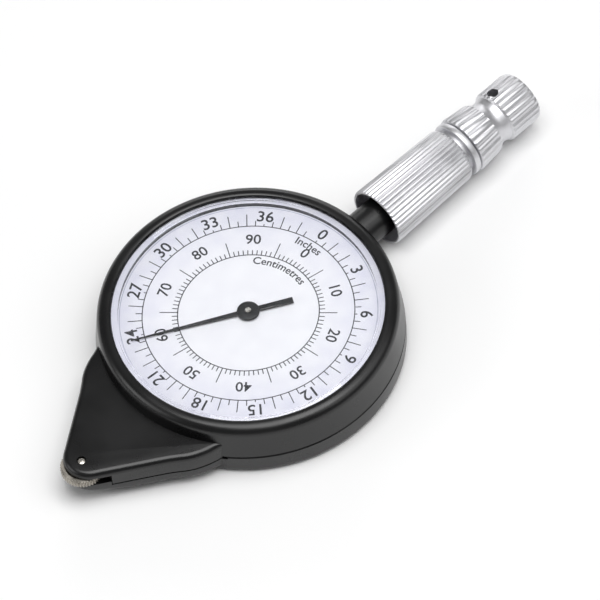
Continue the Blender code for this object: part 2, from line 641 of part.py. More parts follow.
def make_bearing_plate(look):
    """The plate under the dial that holds the bush and the top of the second arbor."""
    plate = cylinder("bearing_plate", POST_CIRCLE + POST_RADIUS, PLATE_Z, PLATE_TOP, look, CASE_STEPS)
    ear = cylinder("plate_ear", PLATE_EAR_RADIUS, PLATE_Z, PLATE_TOP)
    boss = cylinder("plate_boss", BOSS_RADIUS, SECOND_PINION_TOP + SEAT, PLATE_TOP - SEAT)
    join(plate, place(ear, SECOND_X), place(boss, SECOND_X))
    cut(
        plate,
        place(cylinder("plate_arbor_hole", ARBOR_RADIUS + SEAT, 0, CASE_HEIGHT), SECOND_X),
        cylinder("plate_bush_hole", CENTRE_ARBOR_RADIUS + RUN + BUSH_WALL + SEAT, 0, CASE_HEIGHT),
    )
    for index, angle in enumerate(POST_ANGLES, 1):
        hole = cylinder(f"plate_hole_{index}", SCREW_HOLE, 0, CASE_HEIGHT)
        cut(plate, place(hole, *around(POST_CIRCLE, angle)))
    for index, angle in enumerate(CASE_BOSS_ANGLES, 1):
        notch = cylinder(f"plate_notch_{index}", CASE_BOSS_RADIUS + FREE, 0, CASE_HEIGHT)
        cut(plate, place(notch, *around(CASE_BOSS_CIRCLE, angle)))
    return plate


def make_case_fasteners(look):
    for index, angle in enumerate(POST_ANGLES, 1):
        made = screw(
            f"plate_screw_{index}", look, SCREW_RADIUS, SCREW_LENGTH, SCREW_HEAD_RADIUS, SCREW_HEAD_HEIGHT
        )
        place(made, *around(POST_CIRCLE, angle), PLATE_TOP + SEAT)
    for index, angle in enumerate(CASE_BOSS_ANGLES, 1):
        made = screw(
            f"case_screw_{index}", look, SCREW_RADIUS, SCREW_LENGTH, SCREW_HEAD_RADIUS, SCREW_HEAD_HEIGHT,
            slots=2,
        )
        place(made, *around(CASE_BOSS_CIRCLE, angle), SCREW_RECESS + SCREW_HEAD_HEIGHT)
        made.rotation_euler.x = math.pi


# ---- Measuring wheel, gears and pointer

def make_wheel(steel, acetal):
    points = 2 * WHEEL_TEETH
    rim = []
    for index in range(points):
        radius = WHEEL_RADIUS - WHEEL_TOOTH_DEPTH * (index % 2)
        angle = 2 * math.pi * index / points
        rim.append((radius * math.cos(angle), radius * math.sin(angle)))
    wheel = place(flat("measuring_wheel", rim, WHEEL_Z, WHEEL_Z + WHEEL_THICKNESS, steel), WHEEL_X)
    pinion_teeth = toothed(WHEEL_PINION_TEETH, FIRST_MODULE)
    pinion = place(flat("wheel_pinion", pinion_teeth, FIRST_GEAR_Z - SEAT, WHEEL_Z - SEAT, acetal), WHEEL_X)
    bore = place(cylinder("wheel_bore", WHEEL_PIN_RADIUS + RUN, 0, CASE_HEIGHT), WHEEL_X)
    cut(wheel, bore)
    cut(pinion, bore)


def make_compound(name, x, gear, gear_z, gear_thickness, pinion, pinion_z, pinion_top, look):
    """A gear and a pinion moulded in one. Each is (teeth, module, angle of its first tooth)."""
    made = place(flat(name, toothed(*gear), gear_z, gear_z + gear_thickness, look), x)
    join(made, place(flat(f"{name}_pinion", toothed(*pinion), pinion_z, pinion_top), x))
    cut(made, place(cylinder(f"{name}_bore", ARBOR_RADIUS + RUN, 0, CASE_HEIGHT), x))
    return made


def gap_facing_back(teeth):
    """The angle of a tooth that leaves a gap facing -X, where the pinion before it has its tooth."""
    return math.pi + math.pi / teeth


def make_train(acetal):
    make_compound(
        "first_gear", FIRST_X,
        (FIRST_GEAR_TEETH, FIRST_MODULE, gap_facing_back(FIRST_GEAR_TEETH)),
        FIRST_GEAR_Z, FIRST_GEAR_THICKNESS,
        (FIRST_PINION_TEETH, SECOND_MODULE), SECOND_GEAR_Z, FIRST_GEAR_Z + SEAT, acetal,
    )
    make_compound(
        "second_gear", SECOND_X,
        (SECOND_GEAR_TEETH, SECOND_MODULE, gap_facing_back(SECOND_GEAR_TEETH)),
        SECOND_GEAR_Z, SECOND_GEAR_THICKNESS,
        (SECOND_PINION_TEETH, THIRD_MODULE), SECOND_GEAR_Z + SECOND_GEAR_THICKNESS - SEAT, SECOND_PINION_TOP,
        acetal,
    )
    outline = toothed(CENTRE_GEAR_TEETH, THIRD_MODULE, gap_facing_back(CENTRE_GEAR_TEETH))
    centre = flat("centre_gear", outline, CENTRE_GEAR_Z, CENTRE_GEAR_TOP, acetal)
    hub_top = CENTRE_GEAR_TOP + CENTRE_HUB_HEIGHT
    join(centre, cylinder("centre_hub", CENTRE_HUB_RADIUS, CENTRE_GEAR_Z + SEAT, hub_top))
    cut(centre, cylinder("centre_gear_bore", CENTRE_ARBOR_RADIUS + SEAT, 0, CASE_HEIGHT))


def make_arbors(steel, brass):
    foot = ARBOR_BLIND + SEAT
    first_foot = NOSE_BACK_Z + NOSE_ARBOR_BLIND + SEAT
    first = cylinder("first_arbor", ARBOR_RADIUS, first_foot, NOSE_TOP - ARBOR_BLIND - SEAT, steel)
    second = cylinder("second_arbor", ARBOR_RADIUS, foot, PLATE_TOP - SEAT, steel)
    place(first, FIRST_X)
    place(second, SECOND_X)
    head_top = NOSE_TOP - WHEEL_PIN_RECESS
    head_under = head_top - WHEEL_PIN_HEAD_HEIGHT
    place(turned("wheel_pin", [
        (0, head_top), (WHEEL_PIN_HEAD_RADIUS, head_top), (WHEEL_PIN_HEAD_RADIUS, head_under),
        (WHEEL_PIN_RADIUS, head_under), (WHEEL_PIN_RADIUS, PIN_FOOT_Z), (0, PIN_FOOT_Z),
    ], steel, SMALL_SIDES), WHEEL_X)
    turned("centre_arbor", [
        (0, ARBOR_TOP), (CENTRE_ARBOR_TIP_RADIUS, ARBOR_TOP), (CENTRE_ARBOR_TIP_RADIUS, POINTER_Z - SEAT),
        (CENTRE_ARBOR_RADIUS, POINTER_Z - SEAT), (CENTRE_ARBOR_RADIUS, foot), (0, foot),
    ], steel, SMALL_SIDES)
    inner = CENTRE_ARBOR_RADIUS + RUN
    outer = inner + BUSH_WALL
    top = PLATE_TOP + BUSH_RISE
    turned("centre_bush", [
        (inner, top), (outer, top), (outer, BUSH_Z + BUSH_FLANGE_THICKNESS),
        (BUSH_FLANGE_RADIUS, BUSH_Z + BUSH_FLANGE_THICKNESS), (BUSH_FLANGE_RADIUS, BUSH_Z), (inner, BUSH_Z),
    ], brass, SMALL_SIDES)


def make_pointer(look):
    """A tapered needle on a round hub, pressed on the top of the centre arbor."""
    half = [
        (-POINTER_TAIL, POINTER_TAIL_HALF_WIDTH), (0, POINTER_ROOT_HALF_WIDTH),
        (POINTER_REACH, POINTER_TIP_HALF_WIDTH),
    ]
    outline = half + [(x, -y) for x, y in reversed(half)]
    pointer = flat("pointer", outline, POINTER_Z, POINTER_Z + POINTER_THICKNESS, look)
    join(pointer, cylinder("pointer_hub", POINTER_HUB_RADIUS, POINTER_Z, POINTER_Z + POINTER_HUB_HEIGHT))
    cut(pointer, cylinder("pointer_bore", CENTRE_ARBOR_TIP_RADIUS + SEAT, 0, CASE_HEIGHT))
    pointer.rotation_euler.z = POINTER_ANGLE


# ---- Handle

def make_stem(plastic, steel):
    stem = lay(cylinder("stem", STEM_RADIUS, 0, STEM_END_X - STEM_SEAT_X, plastic, 32), STEM_SEAT_X)
    wall_inside = math.sqrt(CAVITY_RADIUS ** 2 - STEM_SCREW_HEAD_RADIUS ** 2) - SEAT
    depth = wall_inside + STEM_SCREW_LENGTH + FREE - STEM_SEAT_X
    cut(stem, lay(cylinder("stem_thread", STEM_SCREW_RADIUS + SEAT, -FREE, depth), STEM_SEAT_X))
    lay(screw(
        "stem_screw", steel, STEM_SCREW_RADIUS, STEM_SCREW_LENGTH, STEM_SCREW_HEAD_RADIUS,
        STEM_SCREW_HEAD_HEIGHT,
    ), wall_inside, -1)
    inner = STEM_RADIUS + SEAT
    outer = inner + PLUG_WALL
    lay(turned("handle_plug", [
        (inner, PLUG_LENGTH), (outer, PLUG_LENGTH), (outer, 0), (inner, 0),
    ], plastic, 32), PLUG_X)


def make_barrel(look):
    """The fluted grip: a tapered tube with a thin lip at its mouth and a wall at its far end."""
    round_start = BARREL_LENGTH - BARREL_ROUND
    barrel = lay(ribbed("handle_barrel", [
        (0, BARREL_RADIUS - BARREL_RIB_DEPTH / 2, BARREL_RIB_DEPTH / 2),
        (BARREL_RIB_DEPTH, BARREL_RADIUS, BARREL_RIB_DEPTH),
        (round_start, BARREL_END_RADIUS, BARREL_RIB_DEPTH),
        (BARREL_LENGTH - BARREL_ROUND / 3, BARREL_END_RADIUS - BARREL_ROUND / 2, BARREL_RIB_DEPTH / 2),
        (BARREL_LENGTH, BARREL_END_RADIUS - BARREL_ROUND, 0),
    ], BARREL_RIBS, look), BARREL_X)
    mouth = BARREL_RADIUS - BARREL_RIB_DEPTH - BARREL_LIP_WALL
    bore_end = BARREL_LENGTH - BARREL_END_WALL
    cut(
        barrel,
        lay(cylinder("barrel_mouth", mouth, -FREE, BARREL_MOUTH_DEPTH, sides=2 * BARREL_RIBS), BARREL_X),
        lay(cylinder("barrel_bore", BARREL_BORE, 0, bore_end, sides=32), BARREL_X),
        lay(cylinder("barrel_end_hole", SWIVEL_RADIUS + RUN, 0, BARREL_LENGTH + FREE), BARREL_X),
    )


def make_ring(look):
    """The plain ring between the barrel and the end cap, with a narrow neck that leaves a groove."""
    bore = SWIVEL_RADIUS + RUN
    end = RING_NECK_LENGTH + RING_LENGTH
    lay(turned("swivel_ring", [
        (bore, end), (RING_RADIUS - RING_ROUND, end), (RING_RADIUS, end - RING_ROUND),
        (RING_RADIUS, RING_NECK_LENGTH), (RING_NECK_RADIUS, RING_NECK_LENGTH),
        (RING_NECK_RADIUS, 0), (bore, 0),
    ], look, 32), RING_X)


def make_end_cap(look, steel):
    """The swivelling cap: a ribbed collar, a smooth waist and a ribbed knob with a cross hole."""
    waist_end = COLLAR_LENGTH + WAIST_LENGTH
    end = waist_end + KNOB_LENGTH
    cap = lay(ribbed("end_cap", [
        (0, COLLAR_RADIUS - CAP_CHAMFER, 0),
        (CAP_CHAMFER, COLLAR_RADIUS, CAP_RIB_DEPTH),
        (COLLAR_LENGTH, COLLAR_END_RADIUS, CAP_RIB_DEPTH),
        (COLLAR_LENGTH + CAP_CHAMFER, COLLAR_END_RADIUS - CAP_CHAMFER, 0),
        (COLLAR_LENGTH + WAIST_LENGTH * 0.45, WAIST_RADIUS, 0),
        (waist_end - CAP_CHAMFER, KNOB_RADIUS - CAP_CHAMFER, 0),
        (waist_end, KNOB_RADIUS, CAP_RIB_DEPTH),
        (end - KNOB_ROUND, KNOB_RADIUS, CAP_RIB_DEPTH),
        (end - KNOB_ROUND / 3, KNOB_RADIUS - KNOB_ROUND / 2, CAP_RIB_DEPTH / 2),
        (end, KNOB_RADIUS - KNOB_ROUND, 0),
    ], CAP_RIBS, look), CAP_X)
    across = 2 * KNOB_RADIUS
    lanyard = cylinder("lanyard_hole", LANYARD_HOLE_RADIUS, -across, across)
    lanyard.rotation_euler.x = -LANYARD_HOLE_TILT
    place(lanyard, CAP_X + waist_end + LANYARD_HOLE_OFFSET, 0, HANDLE_Z)
    cut(cap, lanyard, lay(cylinder("cap_thread", SWIVEL_RADIUS + SEAT, -FREE, SWIVEL_DEPTH + FREE), CAP_X))
    head_seat = BARREL_X + BARREL_LENGTH - BARREL_END_WALL - SEAT
    length = CAP_X + SWIVEL_DEPTH - head_seat
    swivel = screw("swivel_screw", steel, SWIVEL_RADIUS, length, SWIVEL_HEAD_RADIUS, SWIVEL_HEAD_HEIGHT)
    lay(swivel, head_seat, -1)


def make_all():
    clear_scene()
    black = material("black_abs", (0.012, 0.012, 0.013), 0.25)
    clear = material("clear_acrylic", (0.9, 0.93, 0.95), 0.05, transmission=0.9)
    white = material("white_card", (0.85, 0.86, 0.88), 0.5)
    needle = material("black_lacquer", (0.01, 0.01, 0.01), 0.35)
    aluminium = material("bare_aluminium", (0.85, 0.85, 0.86), 0.3, metallic=1.0)
    steel = material("nickel_plated_steel", (0.6, 0.58, 0.55), 0.3, metallic=1.0)
    brass = material("brass", (0.7, 0.5, 0.2), 0.3, metallic=1.0)
    acetal = material("white_acetal", (0.75, 0.74, 0.7), 0.45)

    make_upper_case(black)
    make_lower_case(black)
    make_crystal(clear)
    make_dial(white)
    make_bearing_plate(brass)
    make_case_fasteners(steel)
    make_wheel(steel, acetal)
    make_train(acetal)
    make_arbors(steel, brass)
    make_pointer(needle)
    make_stem(black, steel)
    make_barrel(aluminium)
    make_ring(aluminium)
    make_end_cap(aluminium, steel)


make_all()
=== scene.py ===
"""A map measuring wheel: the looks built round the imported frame."""
import math

import bpy
from mathutils import Matrix, Vector


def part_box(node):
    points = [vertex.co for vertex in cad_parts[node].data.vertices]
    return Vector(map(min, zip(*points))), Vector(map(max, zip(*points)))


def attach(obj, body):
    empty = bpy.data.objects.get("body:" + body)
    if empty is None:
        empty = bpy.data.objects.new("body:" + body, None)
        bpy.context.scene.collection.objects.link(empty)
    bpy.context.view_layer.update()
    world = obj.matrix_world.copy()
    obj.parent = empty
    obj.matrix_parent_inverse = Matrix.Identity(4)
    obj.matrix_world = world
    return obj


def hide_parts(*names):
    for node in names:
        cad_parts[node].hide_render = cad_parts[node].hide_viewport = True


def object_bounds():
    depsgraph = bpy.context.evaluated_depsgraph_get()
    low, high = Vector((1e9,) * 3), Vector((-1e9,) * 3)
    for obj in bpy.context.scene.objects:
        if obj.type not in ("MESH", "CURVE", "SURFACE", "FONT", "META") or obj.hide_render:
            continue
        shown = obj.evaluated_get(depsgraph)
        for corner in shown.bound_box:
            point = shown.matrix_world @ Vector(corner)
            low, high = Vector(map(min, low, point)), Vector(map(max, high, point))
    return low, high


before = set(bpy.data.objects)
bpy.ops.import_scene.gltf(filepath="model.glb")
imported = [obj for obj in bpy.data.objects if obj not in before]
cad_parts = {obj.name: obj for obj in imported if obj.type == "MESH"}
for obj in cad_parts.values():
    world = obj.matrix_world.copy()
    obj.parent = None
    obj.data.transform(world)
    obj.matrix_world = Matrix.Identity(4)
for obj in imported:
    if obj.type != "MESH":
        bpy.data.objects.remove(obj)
cad_low, cad_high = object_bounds()

MM = 0.001

# Sizes of the case that the boxes of its nodes don't give
BEZEL_RADIUS = 22.0 * MM        # of the case's wall just under the bezel's fillet
BEZEL_FILLET = 1.5 * MM
BACK_FILLET = 1.0 * MM
WINDOW_CHAMFER = 0.25 * MM
CASE_WALL = 1.3 * MM
CASE_FLOOR = 1.2 * MM
SEAM_Z = 3.6 * MM
NOSE_SEAM_Z = 3.2 * MM
SEAM_GAP = 0.1 * MM
SEAM_CHAMFER = 0.16 * MM        # the parting line is a shallow groove
SEAM_STEP_X = -18.0 * MM
LIP_RADIUS = 20.6 * MM
LIP_WALL = 0.7 * MM
LIP_HEIGHT = 0.7 * MM
LEDGE_RADIUS = 18.42 * MM
LEDGE_THICKNESS = 0.5 * MM
NOSE_TOP = 6.45 * MM
NOSE_CEILING = 5.4 * MM
NOSE_BACK_Z = 1.15 * MM
NOSE_FLOOR = 0.65 * MM
NOSE_BACK_SLOPE = math.radians(12)
NOSE_BACK_SLOPE_X = -30.0 * MM
NOSE_TIP_LOW_TOP = 4.0 * MM     # of the lower case under the wheel
NOSE_ROUND = 0.9 * MM
NOSE_WALL = 1.0 * MM
NOSE_TIP_X = -32.2 * MM
NOSE_TIP_RADIUS = 3.8 * MM
NOSE_FLARE_X = -26.0 * MM
NOSE_FLARE_RADIUS = 24.0 * MM
NOSE_FLARE_END = math.radians(41)
NOSE_END_X = -17.2 * MM
NOSE_SLOPE = math.asin(0.5564)
SLOT_MOUTH_X = -32.2 * MM
HAIR = 0.01 * MM                # thickness of print, and the least step between shapes
SNUG = 0.05 * MM                # room round what sits still
FREE = 0.15 * MM                # room round what turns
FAR = 70.0 * MM                 # past the whole case, for shapes that cut
CASE_SIDES = 160
STEM_SEAT_DEPTH = 0.9 * MM      # of the bore that the stem's foot stands in
RECESS_DEPTH = 0.4 * MM         # round the head of the wheel's pin
HEAD_MARGIN = 0.15 * MM         # of the pin's head past its shank
HOLLOW_FRONT_X = -30.9 * MM     # the lower half of the nose is solid in front of this
POCKET_FLOOR = 2.9 * MM         # under the first gear and the pinion
PINION_POCKET = 1.6 * MM
BACK_RECESS = 0.6 * MM          # depth of the recesses round the back screws

# Handle
BARREL_RIBS = 40
CAP_RIBS = 24
RIB_POINTS = 8                  # round each rib and groove
RIB_DEPTH = 0.2 * MM
CAP_RIB_DEPTH = 0.22 * MM
SCREW_BORE = 1.06 * MM
CORD_HOLE_RADIUS = 0.85 * MM
CORD_HOLE_OFFSET = 0.95 * MM    # from the end of the cap's waist
CORD_HOLE_TILT = math.radians(-19)

# Scales on the dial: a turn is 100 cm, or 39.37 inches
OUTER_LINE = 15.4 * MM
INNER_LINE = 10.26 * MM
RIM_LINE = 18.72 * MM
LINE_WIDTH = 0.15 * MM
RIM_LINE_WIDTH = 0.12 * MM
TICK_WIDTH = 0.14 * MM
CENTIMETRE_TICK = 11.1 * MM     # each tick is named by the radius where it ends
FIVE_CENTIMETRE_TICK = 12.9 * MM
INCH_TICK = 17.5 * MM
HALF_INCH_TICK = 16.35 * MM
THREE_INCH_TICK = 15.8 * MM
CENTIMETRE_FIGURES = 12.95 * MM
CENTIMETRE_FIGURE_SIZE = 2.35 * MM
INCH_FIGURES = 17.05 * MM
INCH_FIGURE_SIZE = 2.6 * MM
WORD_SIZE = 1.75 * MM
WEIGHT = 0.012                  # of the type's strokes, as a share of its size
POINTER_ANGLE = math.radians(149.8)
ZERO_ANGLE = math.radians(6.4)
INCHES_PER_TURN = 39.37


# ---- Materials

def linear(colour):
    """A colour given as sRGB hex, such as "e8e6e1", as linear light."""
    channels = [int(colour[i:i + 2], 16) / 255 for i in (0, 2, 4)]
    return tuple(c / 12.92 if c <= 0.04045 else ((c + 0.055) / 1.055) ** 2.4 for c in channels) + (1.0,)


def add(tree, kind, inputs=None, **settings):
    """Adds a node with its settings, and fills its sockets with values or with links."""
    made = tree.nodes.new(kind)
    for name, value in settings.items():
        setattr(made, name, value)
    for name, value in (inputs or {}).items():
        if isinstance(value, bpy.types.NodeSocket):
            tree.links.new(value, made.inputs[name])
        else:
            made.inputs[name].default_value = value
    return made


def start_material(name, roughness, metallic=0.0, colour=None):
    """A material with its shader, and the object's own coordinates in metres."""
    made = bpy.data.materials.new(name)
    made.use_nodes = True
    tree = made.node_tree
    shader = tree.nodes["Principled BSDF"]
    shader.inputs["Roughness"].default_value = roughness
    shader.inputs["Metallic"].default_value = metallic
    if colour:
        shader.inputs["Base Color"].default_value = linear(colour)
    place = add(tree, "ShaderNodeTexCoord").outputs["Object"]
    return made, tree, shader, place


def speckle(tree, place, size, detail=3.0):
    """Noise whose blotches are about size across."""
    inputs = {"Vector": place, "Scale": 0.5 / size, "Detail": detail}
    return add(tree, "ShaderNodeTexNoise", inputs).outputs["Fac"]


def between(tree, value, low, high, start=0.35, end=0.65):
    """The value's middle range spread from low to high."""
    inputs = {"Value": value, "From Min": start, "From Max": end, "To Min": low, "To Max": high}
    return add(tree, "ShaderNodeMapRange", inputs).outputs["Result"]


def blend_colours(tree, value, first, second, start=0.3, end=0.7):
    """One colour running into another as the value grows."""
    ramp = add(tree, "ShaderNodeValToRGB", {"Fac": value})
    ramp.color_ramp.elements[0].position = start
    ramp.color_ramp.elements[0].color = linear(first)
    ramp.color_ramp.elements[1].position = end
    ramp.color_ramp.elements[1].color = linear(second)
    return ramp.outputs["Color"]


def raise_surface(tree, shader, height, distance, strength):
    """Fine relief that only the light shows."""
    bump = add(tree, "ShaderNodeBump", {"Height": height, "Distance": distance, "Strength": strength})
    tree.links.new(bump.outputs["Normal"], shader.inputs["Normal"])


def black_abs():
    """Injection-moulded ABS in satin black: a soft sheen, slightly uneven as the mould's polish was."""
    made, tree, shader, place = start_material("black_moulded_abs", 0.3)
    cloud = speckle(tree, place, 5 * MM)
    grain = speckle(tree, place, 0.25 * MM, 5.0)
    tree.links.new(between(tree, cloud, 0.24, 0.34), shader.inputs["Roughness"])
    tree.links.new(blend_colours(tree, cloud, "070708", "0c0c0d"), shader.inputs["Base Color"])
    shader.inputs["IOR"].default_value = 1.53
    raise_surface(tree, shader, grain, 0.004 * MM, 0.5)
    return made


def clear_acrylic():
    """Moulded clear acrylic: glossy, nearly colourless, and light reaches the dial through it."""
    made, tree, shader, place = start_material("clear_moulded_acrylic", 0.02, colour="fbfdff")
    shader.inputs["IOR"].default_value = 1.49
    shader.inputs["Transmission Weight"].default_value = 1.0
    ripple = speckle(tree, place, 14 * MM, 1.0)
    raise_surface(tree, shader, ripple, 0.01 * MM, 0.25)
    rays = add(tree, "ShaderNodeLightPath").outputs
    passing = {0: rays["Is Shadow Ray"], 1: rays["Is Diffuse Ray"]}
    lamp = add(tree, "ShaderNodeMath", passing, operation="MAXIMUM").outputs["Value"]
    through = add(tree, "ShaderNodeBsdfTransparent", {"Color": linear("fdfdff")}).outputs["BSDF"]
    mixed = add(tree, "ShaderNodeMixShader", {0: lamp, 1: shader.outputs["BSDF"], 2: through})
    tree.links.new(mixed.outputs["Shader"], tree.nodes["Material Output"].inputs["Surface"])
    return made


def white_card():
    """Coated white card: matt, cool white, with painted shade making it darker and lilac towards the rim."""
    made, tree, shader, place = start_material("white_coated_card", 0.55)
    reach = add(tree, "ShaderNodeVectorMath", {0: place}, operation="LENGTH").outputs["Value"]
    # painted shade: from 12 mm out to the rim the card is mixed towards a darker, cooler colour, under the
    # bezel
    edge = between(tree, reach, 0.0, 1.0, 12 * MM, 20 * MM)
    mottle = speckle(tree, place, 1.2 * MM, 4.0)
    field = blend_colours(tree, mottle, "f5f4f5", "fbfafa")
    # the colour of the painted shade at the rim
    rim = blend_colours(tree, mottle, "e3e2ed", "efeef3")
    mixed = add(tree, "ShaderNodeMix", data_type="RGBA")
    tree.links.new(edge, mixed.inputs[0])
    tree.links.new(field, mixed.inputs[6])
    tree.links.new(rim, mixed.inputs[7])
    tree.links.new(mixed.outputs[2], shader.inputs["Base Color"])
    fibres = speckle(tree, place, 0.2 * MM, 5.0)
    raise_surface(tree, shader, fibres, 0.003 * MM, 0.4)
    return made


def printing_ink():
    """Screen printing ink: black, a little thin in places so that the card shows through."""
    made, tree, shader, place = start_material("black_printing_ink", 0.5)
    coverage = speckle(tree, place, 0.3 * MM, 4.0)
    tree.links.new(blend_colours(tree, coverage, "17171a", "2c2c31"), shader.inputs["Base Color"])
    return made


def rim_ink():
    """The thin grey line that the die left where the card was cut."""
    made, tree, shader, place = start_material("grey_rim_line", 0.6)
    coverage = speckle(tree, place, 0.6 * MM)
    tree.links.new(blend_colours(tree, coverage, "a9abba", "c4c5d2"), shader.inputs["Base Color"])
    return made


def black_lacquer():
    """Sprayed lacquer over brass: black and satin, with a trace of orange peel."""
    made, tree, shader, place = start_material("black_sprayed_lacquer", 0.35, colour="0a0a0b")
    peel = speckle(tree, place, 0.35 * MM, 2.0)
    tree.links.new(between(tree, peel, 0.3, 0.42), shader.inputs["Roughness"])
    raise_surface(tree, shader, peel, 0.005 * MM, 0.5)
    return made


def bare_aluminium():
    """Bright turned aluminium: fine lines from the tool run round the axis, with small handling marks."""
    made, tree, shader, place = start_material("bright_turned_aluminium", 0.42, metallic=1.0)
    lines = add(tree, "ShaderNodeMapping", {"Vector": place, "Scale": (1.0, 0.04, 0.04)}).outputs["Vector"]
    turning = speckle(tree, lines, 0.12 * MM, 4.0)
    marks = speckle(tree, place, 1.6 * MM, 4.0)
    tree.links.new(blend_colours(tree, marks, "d2d2d5", "e0e0e3"), shader.inputs["Base Color"])
    tree.links.new(between(tree, marks, 0.36, 0.5), shader.inputs["Roughness"])
    raise_surface(tree, shader, turning, 0.006 * MM, 0.6)
    return made


def plated_steel(name, dark, light, smooth, rough):
    """Steel with a nickel flash: warmer than chrome, with fine wear that dulls it in spots."""
    made, tree, shader, place = start_material(name, smooth, metallic=1.0)
    wear = speckle(tree, place, 0.5 * MM, 4.0)
    tree.links.new(blend_colours(tree, wear, dark, light), shader.inputs["Base Color"])
    tree.links.new(between(tree, wear, smooth, rough), shader.inputs["Roughness"])
    raise_surface(tree, shader, wear, 0.004 * MM, 0.4)
    return made


def sheet_brass():
    """Rolled sheet brass: straight rolling lines along Y, gone slightly brown between them."""
    made, tree, shader, place = start_material("rolled_sheet_brass", 0.3, metallic=1.0)
    lines = add(tree, "ShaderNodeMapping", {"Vector": place, "Scale": (1.0, 0.05, 1.0)}).outputs["Vector"]
    rolling = speckle(tree, lines, 0.2 * MM, 3.0)
    tree.links.new(blend_colours(tree, rolling, "b98e46", "dab566"), shader.inputs["Base Color"])
    tree.links.new(between(tree, rolling, 0.24, 0.38), shader.inputs["Roughness"])
    raise_surface(tree, shader, rolling, 0.003 * MM, 0.4)
    return made


def white_acetal():
    """Moulded acetal, a slippery gear plastic: milky white and waxy, so light spreads a little inside it."""
    made, tree, shader, place = start_material("white_moulded_acetal", 0.4)
    cloud = speckle(tree, place, 2 * MM)
    tree.links.new(blend_colours(tree, cloud, "e4e1d8", "efede6"), shader.inputs["Base Color"])
    tree.links.new(between(tree, cloud, 0.34, 0.46), shader.inputs["Roughness"])
    shader.inputs["IOR"].default_value = 1.48
    return made


def white_paper():
    """The studio's matt white paper sweep."""
    made, tree, shader, place = start_material("matt_white_paper", 0.9)
    grain = speckle(tree, place, 40 * MM)
    tree.links.new(blend_colours(tree, grain, "f7f7f7", "fafafa"), shader.inputs["Base Color"])
    return made


BLACK = black_abs()
CLEAR = clear_acrylic()
CARD = white_card()
INK = printing_ink()
RIM_INK = rim_ink()
LACQUER = black_lacquer()
ALUMINIUM = bare_aluminium()
NICKEL = plated_steel("nickel_plated_steel", "c4bfb6", "dedad2", 0.16, 0.3)
WORN_STEEL = plated_steel("worn_wheel_steel", "8d8880", "b4afa6", 0.3, 0.48)
BRASS = sheet_brass()
ACETAL = white_acetal()


# ---- Modelling by hand

def pick(thing):
    """Makes one object the only selected one, and the active one."""
    if bpy.context.object and bpy.context.object.mode != "OBJECT":
        bpy.ops.object.mode_set(mode="OBJECT")
    bpy.ops.object.select_all(action="DESELECT")
    thing.select_set(True)
    bpy.context.view_layer.objects.active = thing


def settle(thing):
    """Brings the object back to the origin, with its place in its mesh."""
    pick(thing)
    bpy.ops.object.transform_apply(location=True, rotation=True, scale=True)
    return thing


def apply_all(thing):
    """Applies every modifier in its order."""
    pick(thing)
    for modifier in list(thing.modifiers):
        bpy.ops.object.modifier_apply(modifier=modifier.name)
    return thing


def pick_open_edges():
    bpy.ops.mesh.select_all(action="DESELECT")
    bpy.ops.mesh.select_non_manifold(
        extend=False, use_wire=False, use_multi_face=False, use_non_contiguous=False, use_verts=False,
    )


def turned(name, stations, sides, closed=False):
    """A ring grown upwards or downwards through (radius, height) stations, as on a lathe.

    A closed one is a tube whose last ring joins the first. The other kind is capped at both ends.
    """
    bpy.ops.object.select_all(action="DESELECT")
    radius, height = stations[0]
    fill = "NOTHING" if closed else "NGON"
    bpy.ops.mesh.primitive_circle_add(vertices=sides, radius=radius, fill_type=fill, location=(0, 0, height))
    made = bpy.context.object
    made.name = name
    settle(made)
    bpy.ops.object.mode_set(mode="EDIT")
    bpy.ops.mesh.select_mode(type="VERT")
    bpy.ops.mesh.select_all(action="SELECT")
    if not closed:
        bpy.ops.mesh.delete(type="ONLY_FACE")
        bpy.ops.mesh.select_all(action="SELECT")
    for next_radius, next_height in stations[1:]:
        bpy.ops.mesh.extrude_edges_move(TRANSFORM_OT_translate={"value": (0, 0, next_height - height)})
        share = next_radius / radius
        bpy.ops.transform.resize(value=(share, share, 1), center_override=(0, 0, next_height))
        radius, height = next_radius, next_height
    if closed:
        pick_open_edges()
        bpy.ops.mesh.bridge_edge_loops()
    else:
        bpy.ops.mesh.edge_face_add()
        pick_open_edges()
        bpy.ops.mesh.edge_face_add()
    bpy.ops.mesh.select_all(action="SELECT")
    bpy.ops.mesh.remove_doubles(threshold=HAIR / 10)
    bpy.ops.mesh.normals_make_consistent(inside=False)
    bpy.ops.object.mode_set(mode="OBJECT")
    return made


def traced(name, outline, low, high):
    """A plate of one closed outline: a corner drawn out point by point, filled and raised."""
    bpy.ops.object.select_all(action="DESELECT")
    bpy.ops.mesh.primitive_plane_add(size=MM, location=(0, 0, 0))
    made = bpy.context.object
    made.name = name
    bpy.ops.object.mode_set(mode="EDIT")
    bpy.ops.mesh.select_mode(type="VERT")
    bpy.ops.mesh.select_all(action="SELECT")
    bpy.ops.mesh.merge(type="CENTER")
    last = Vector((*outline[0], low))
    bpy.ops.transform.translate(value=last)
    for x, y in outline[1:]:
        point = Vector((x, y, low))
        bpy.ops.mesh.extrude_vertices_move(TRANSFORM_OT_translate={"value": point - last})
        last = point
    bpy.ops.mesh.select_all(action="SELECT")
    bpy.ops.mesh.edge_face_add()
    bpy.ops.mesh.extrude_region_move(TRANSFORM_OT_translate={"value": (0, 0, high - low)})
    bpy.ops.mesh.select_all(action="SELECT")
    bpy.ops.mesh.normals_make_consistent(inside=False)
    bpy.ops.object.mode_set(mode="OBJECT")
    return made


def block(name, low, high):
    """A box between two corners, used to cut with."""
    bpy.ops.object.select_all(action="DESELECT")
    middle = (Vector(low) + Vector(high)) / 2
    bpy.ops.mesh.primitive_cube_add(size=1, location=middle, scale=Vector(high) - Vector(low))
    made = bpy.context.object
    made.name = name
    return settle(made)


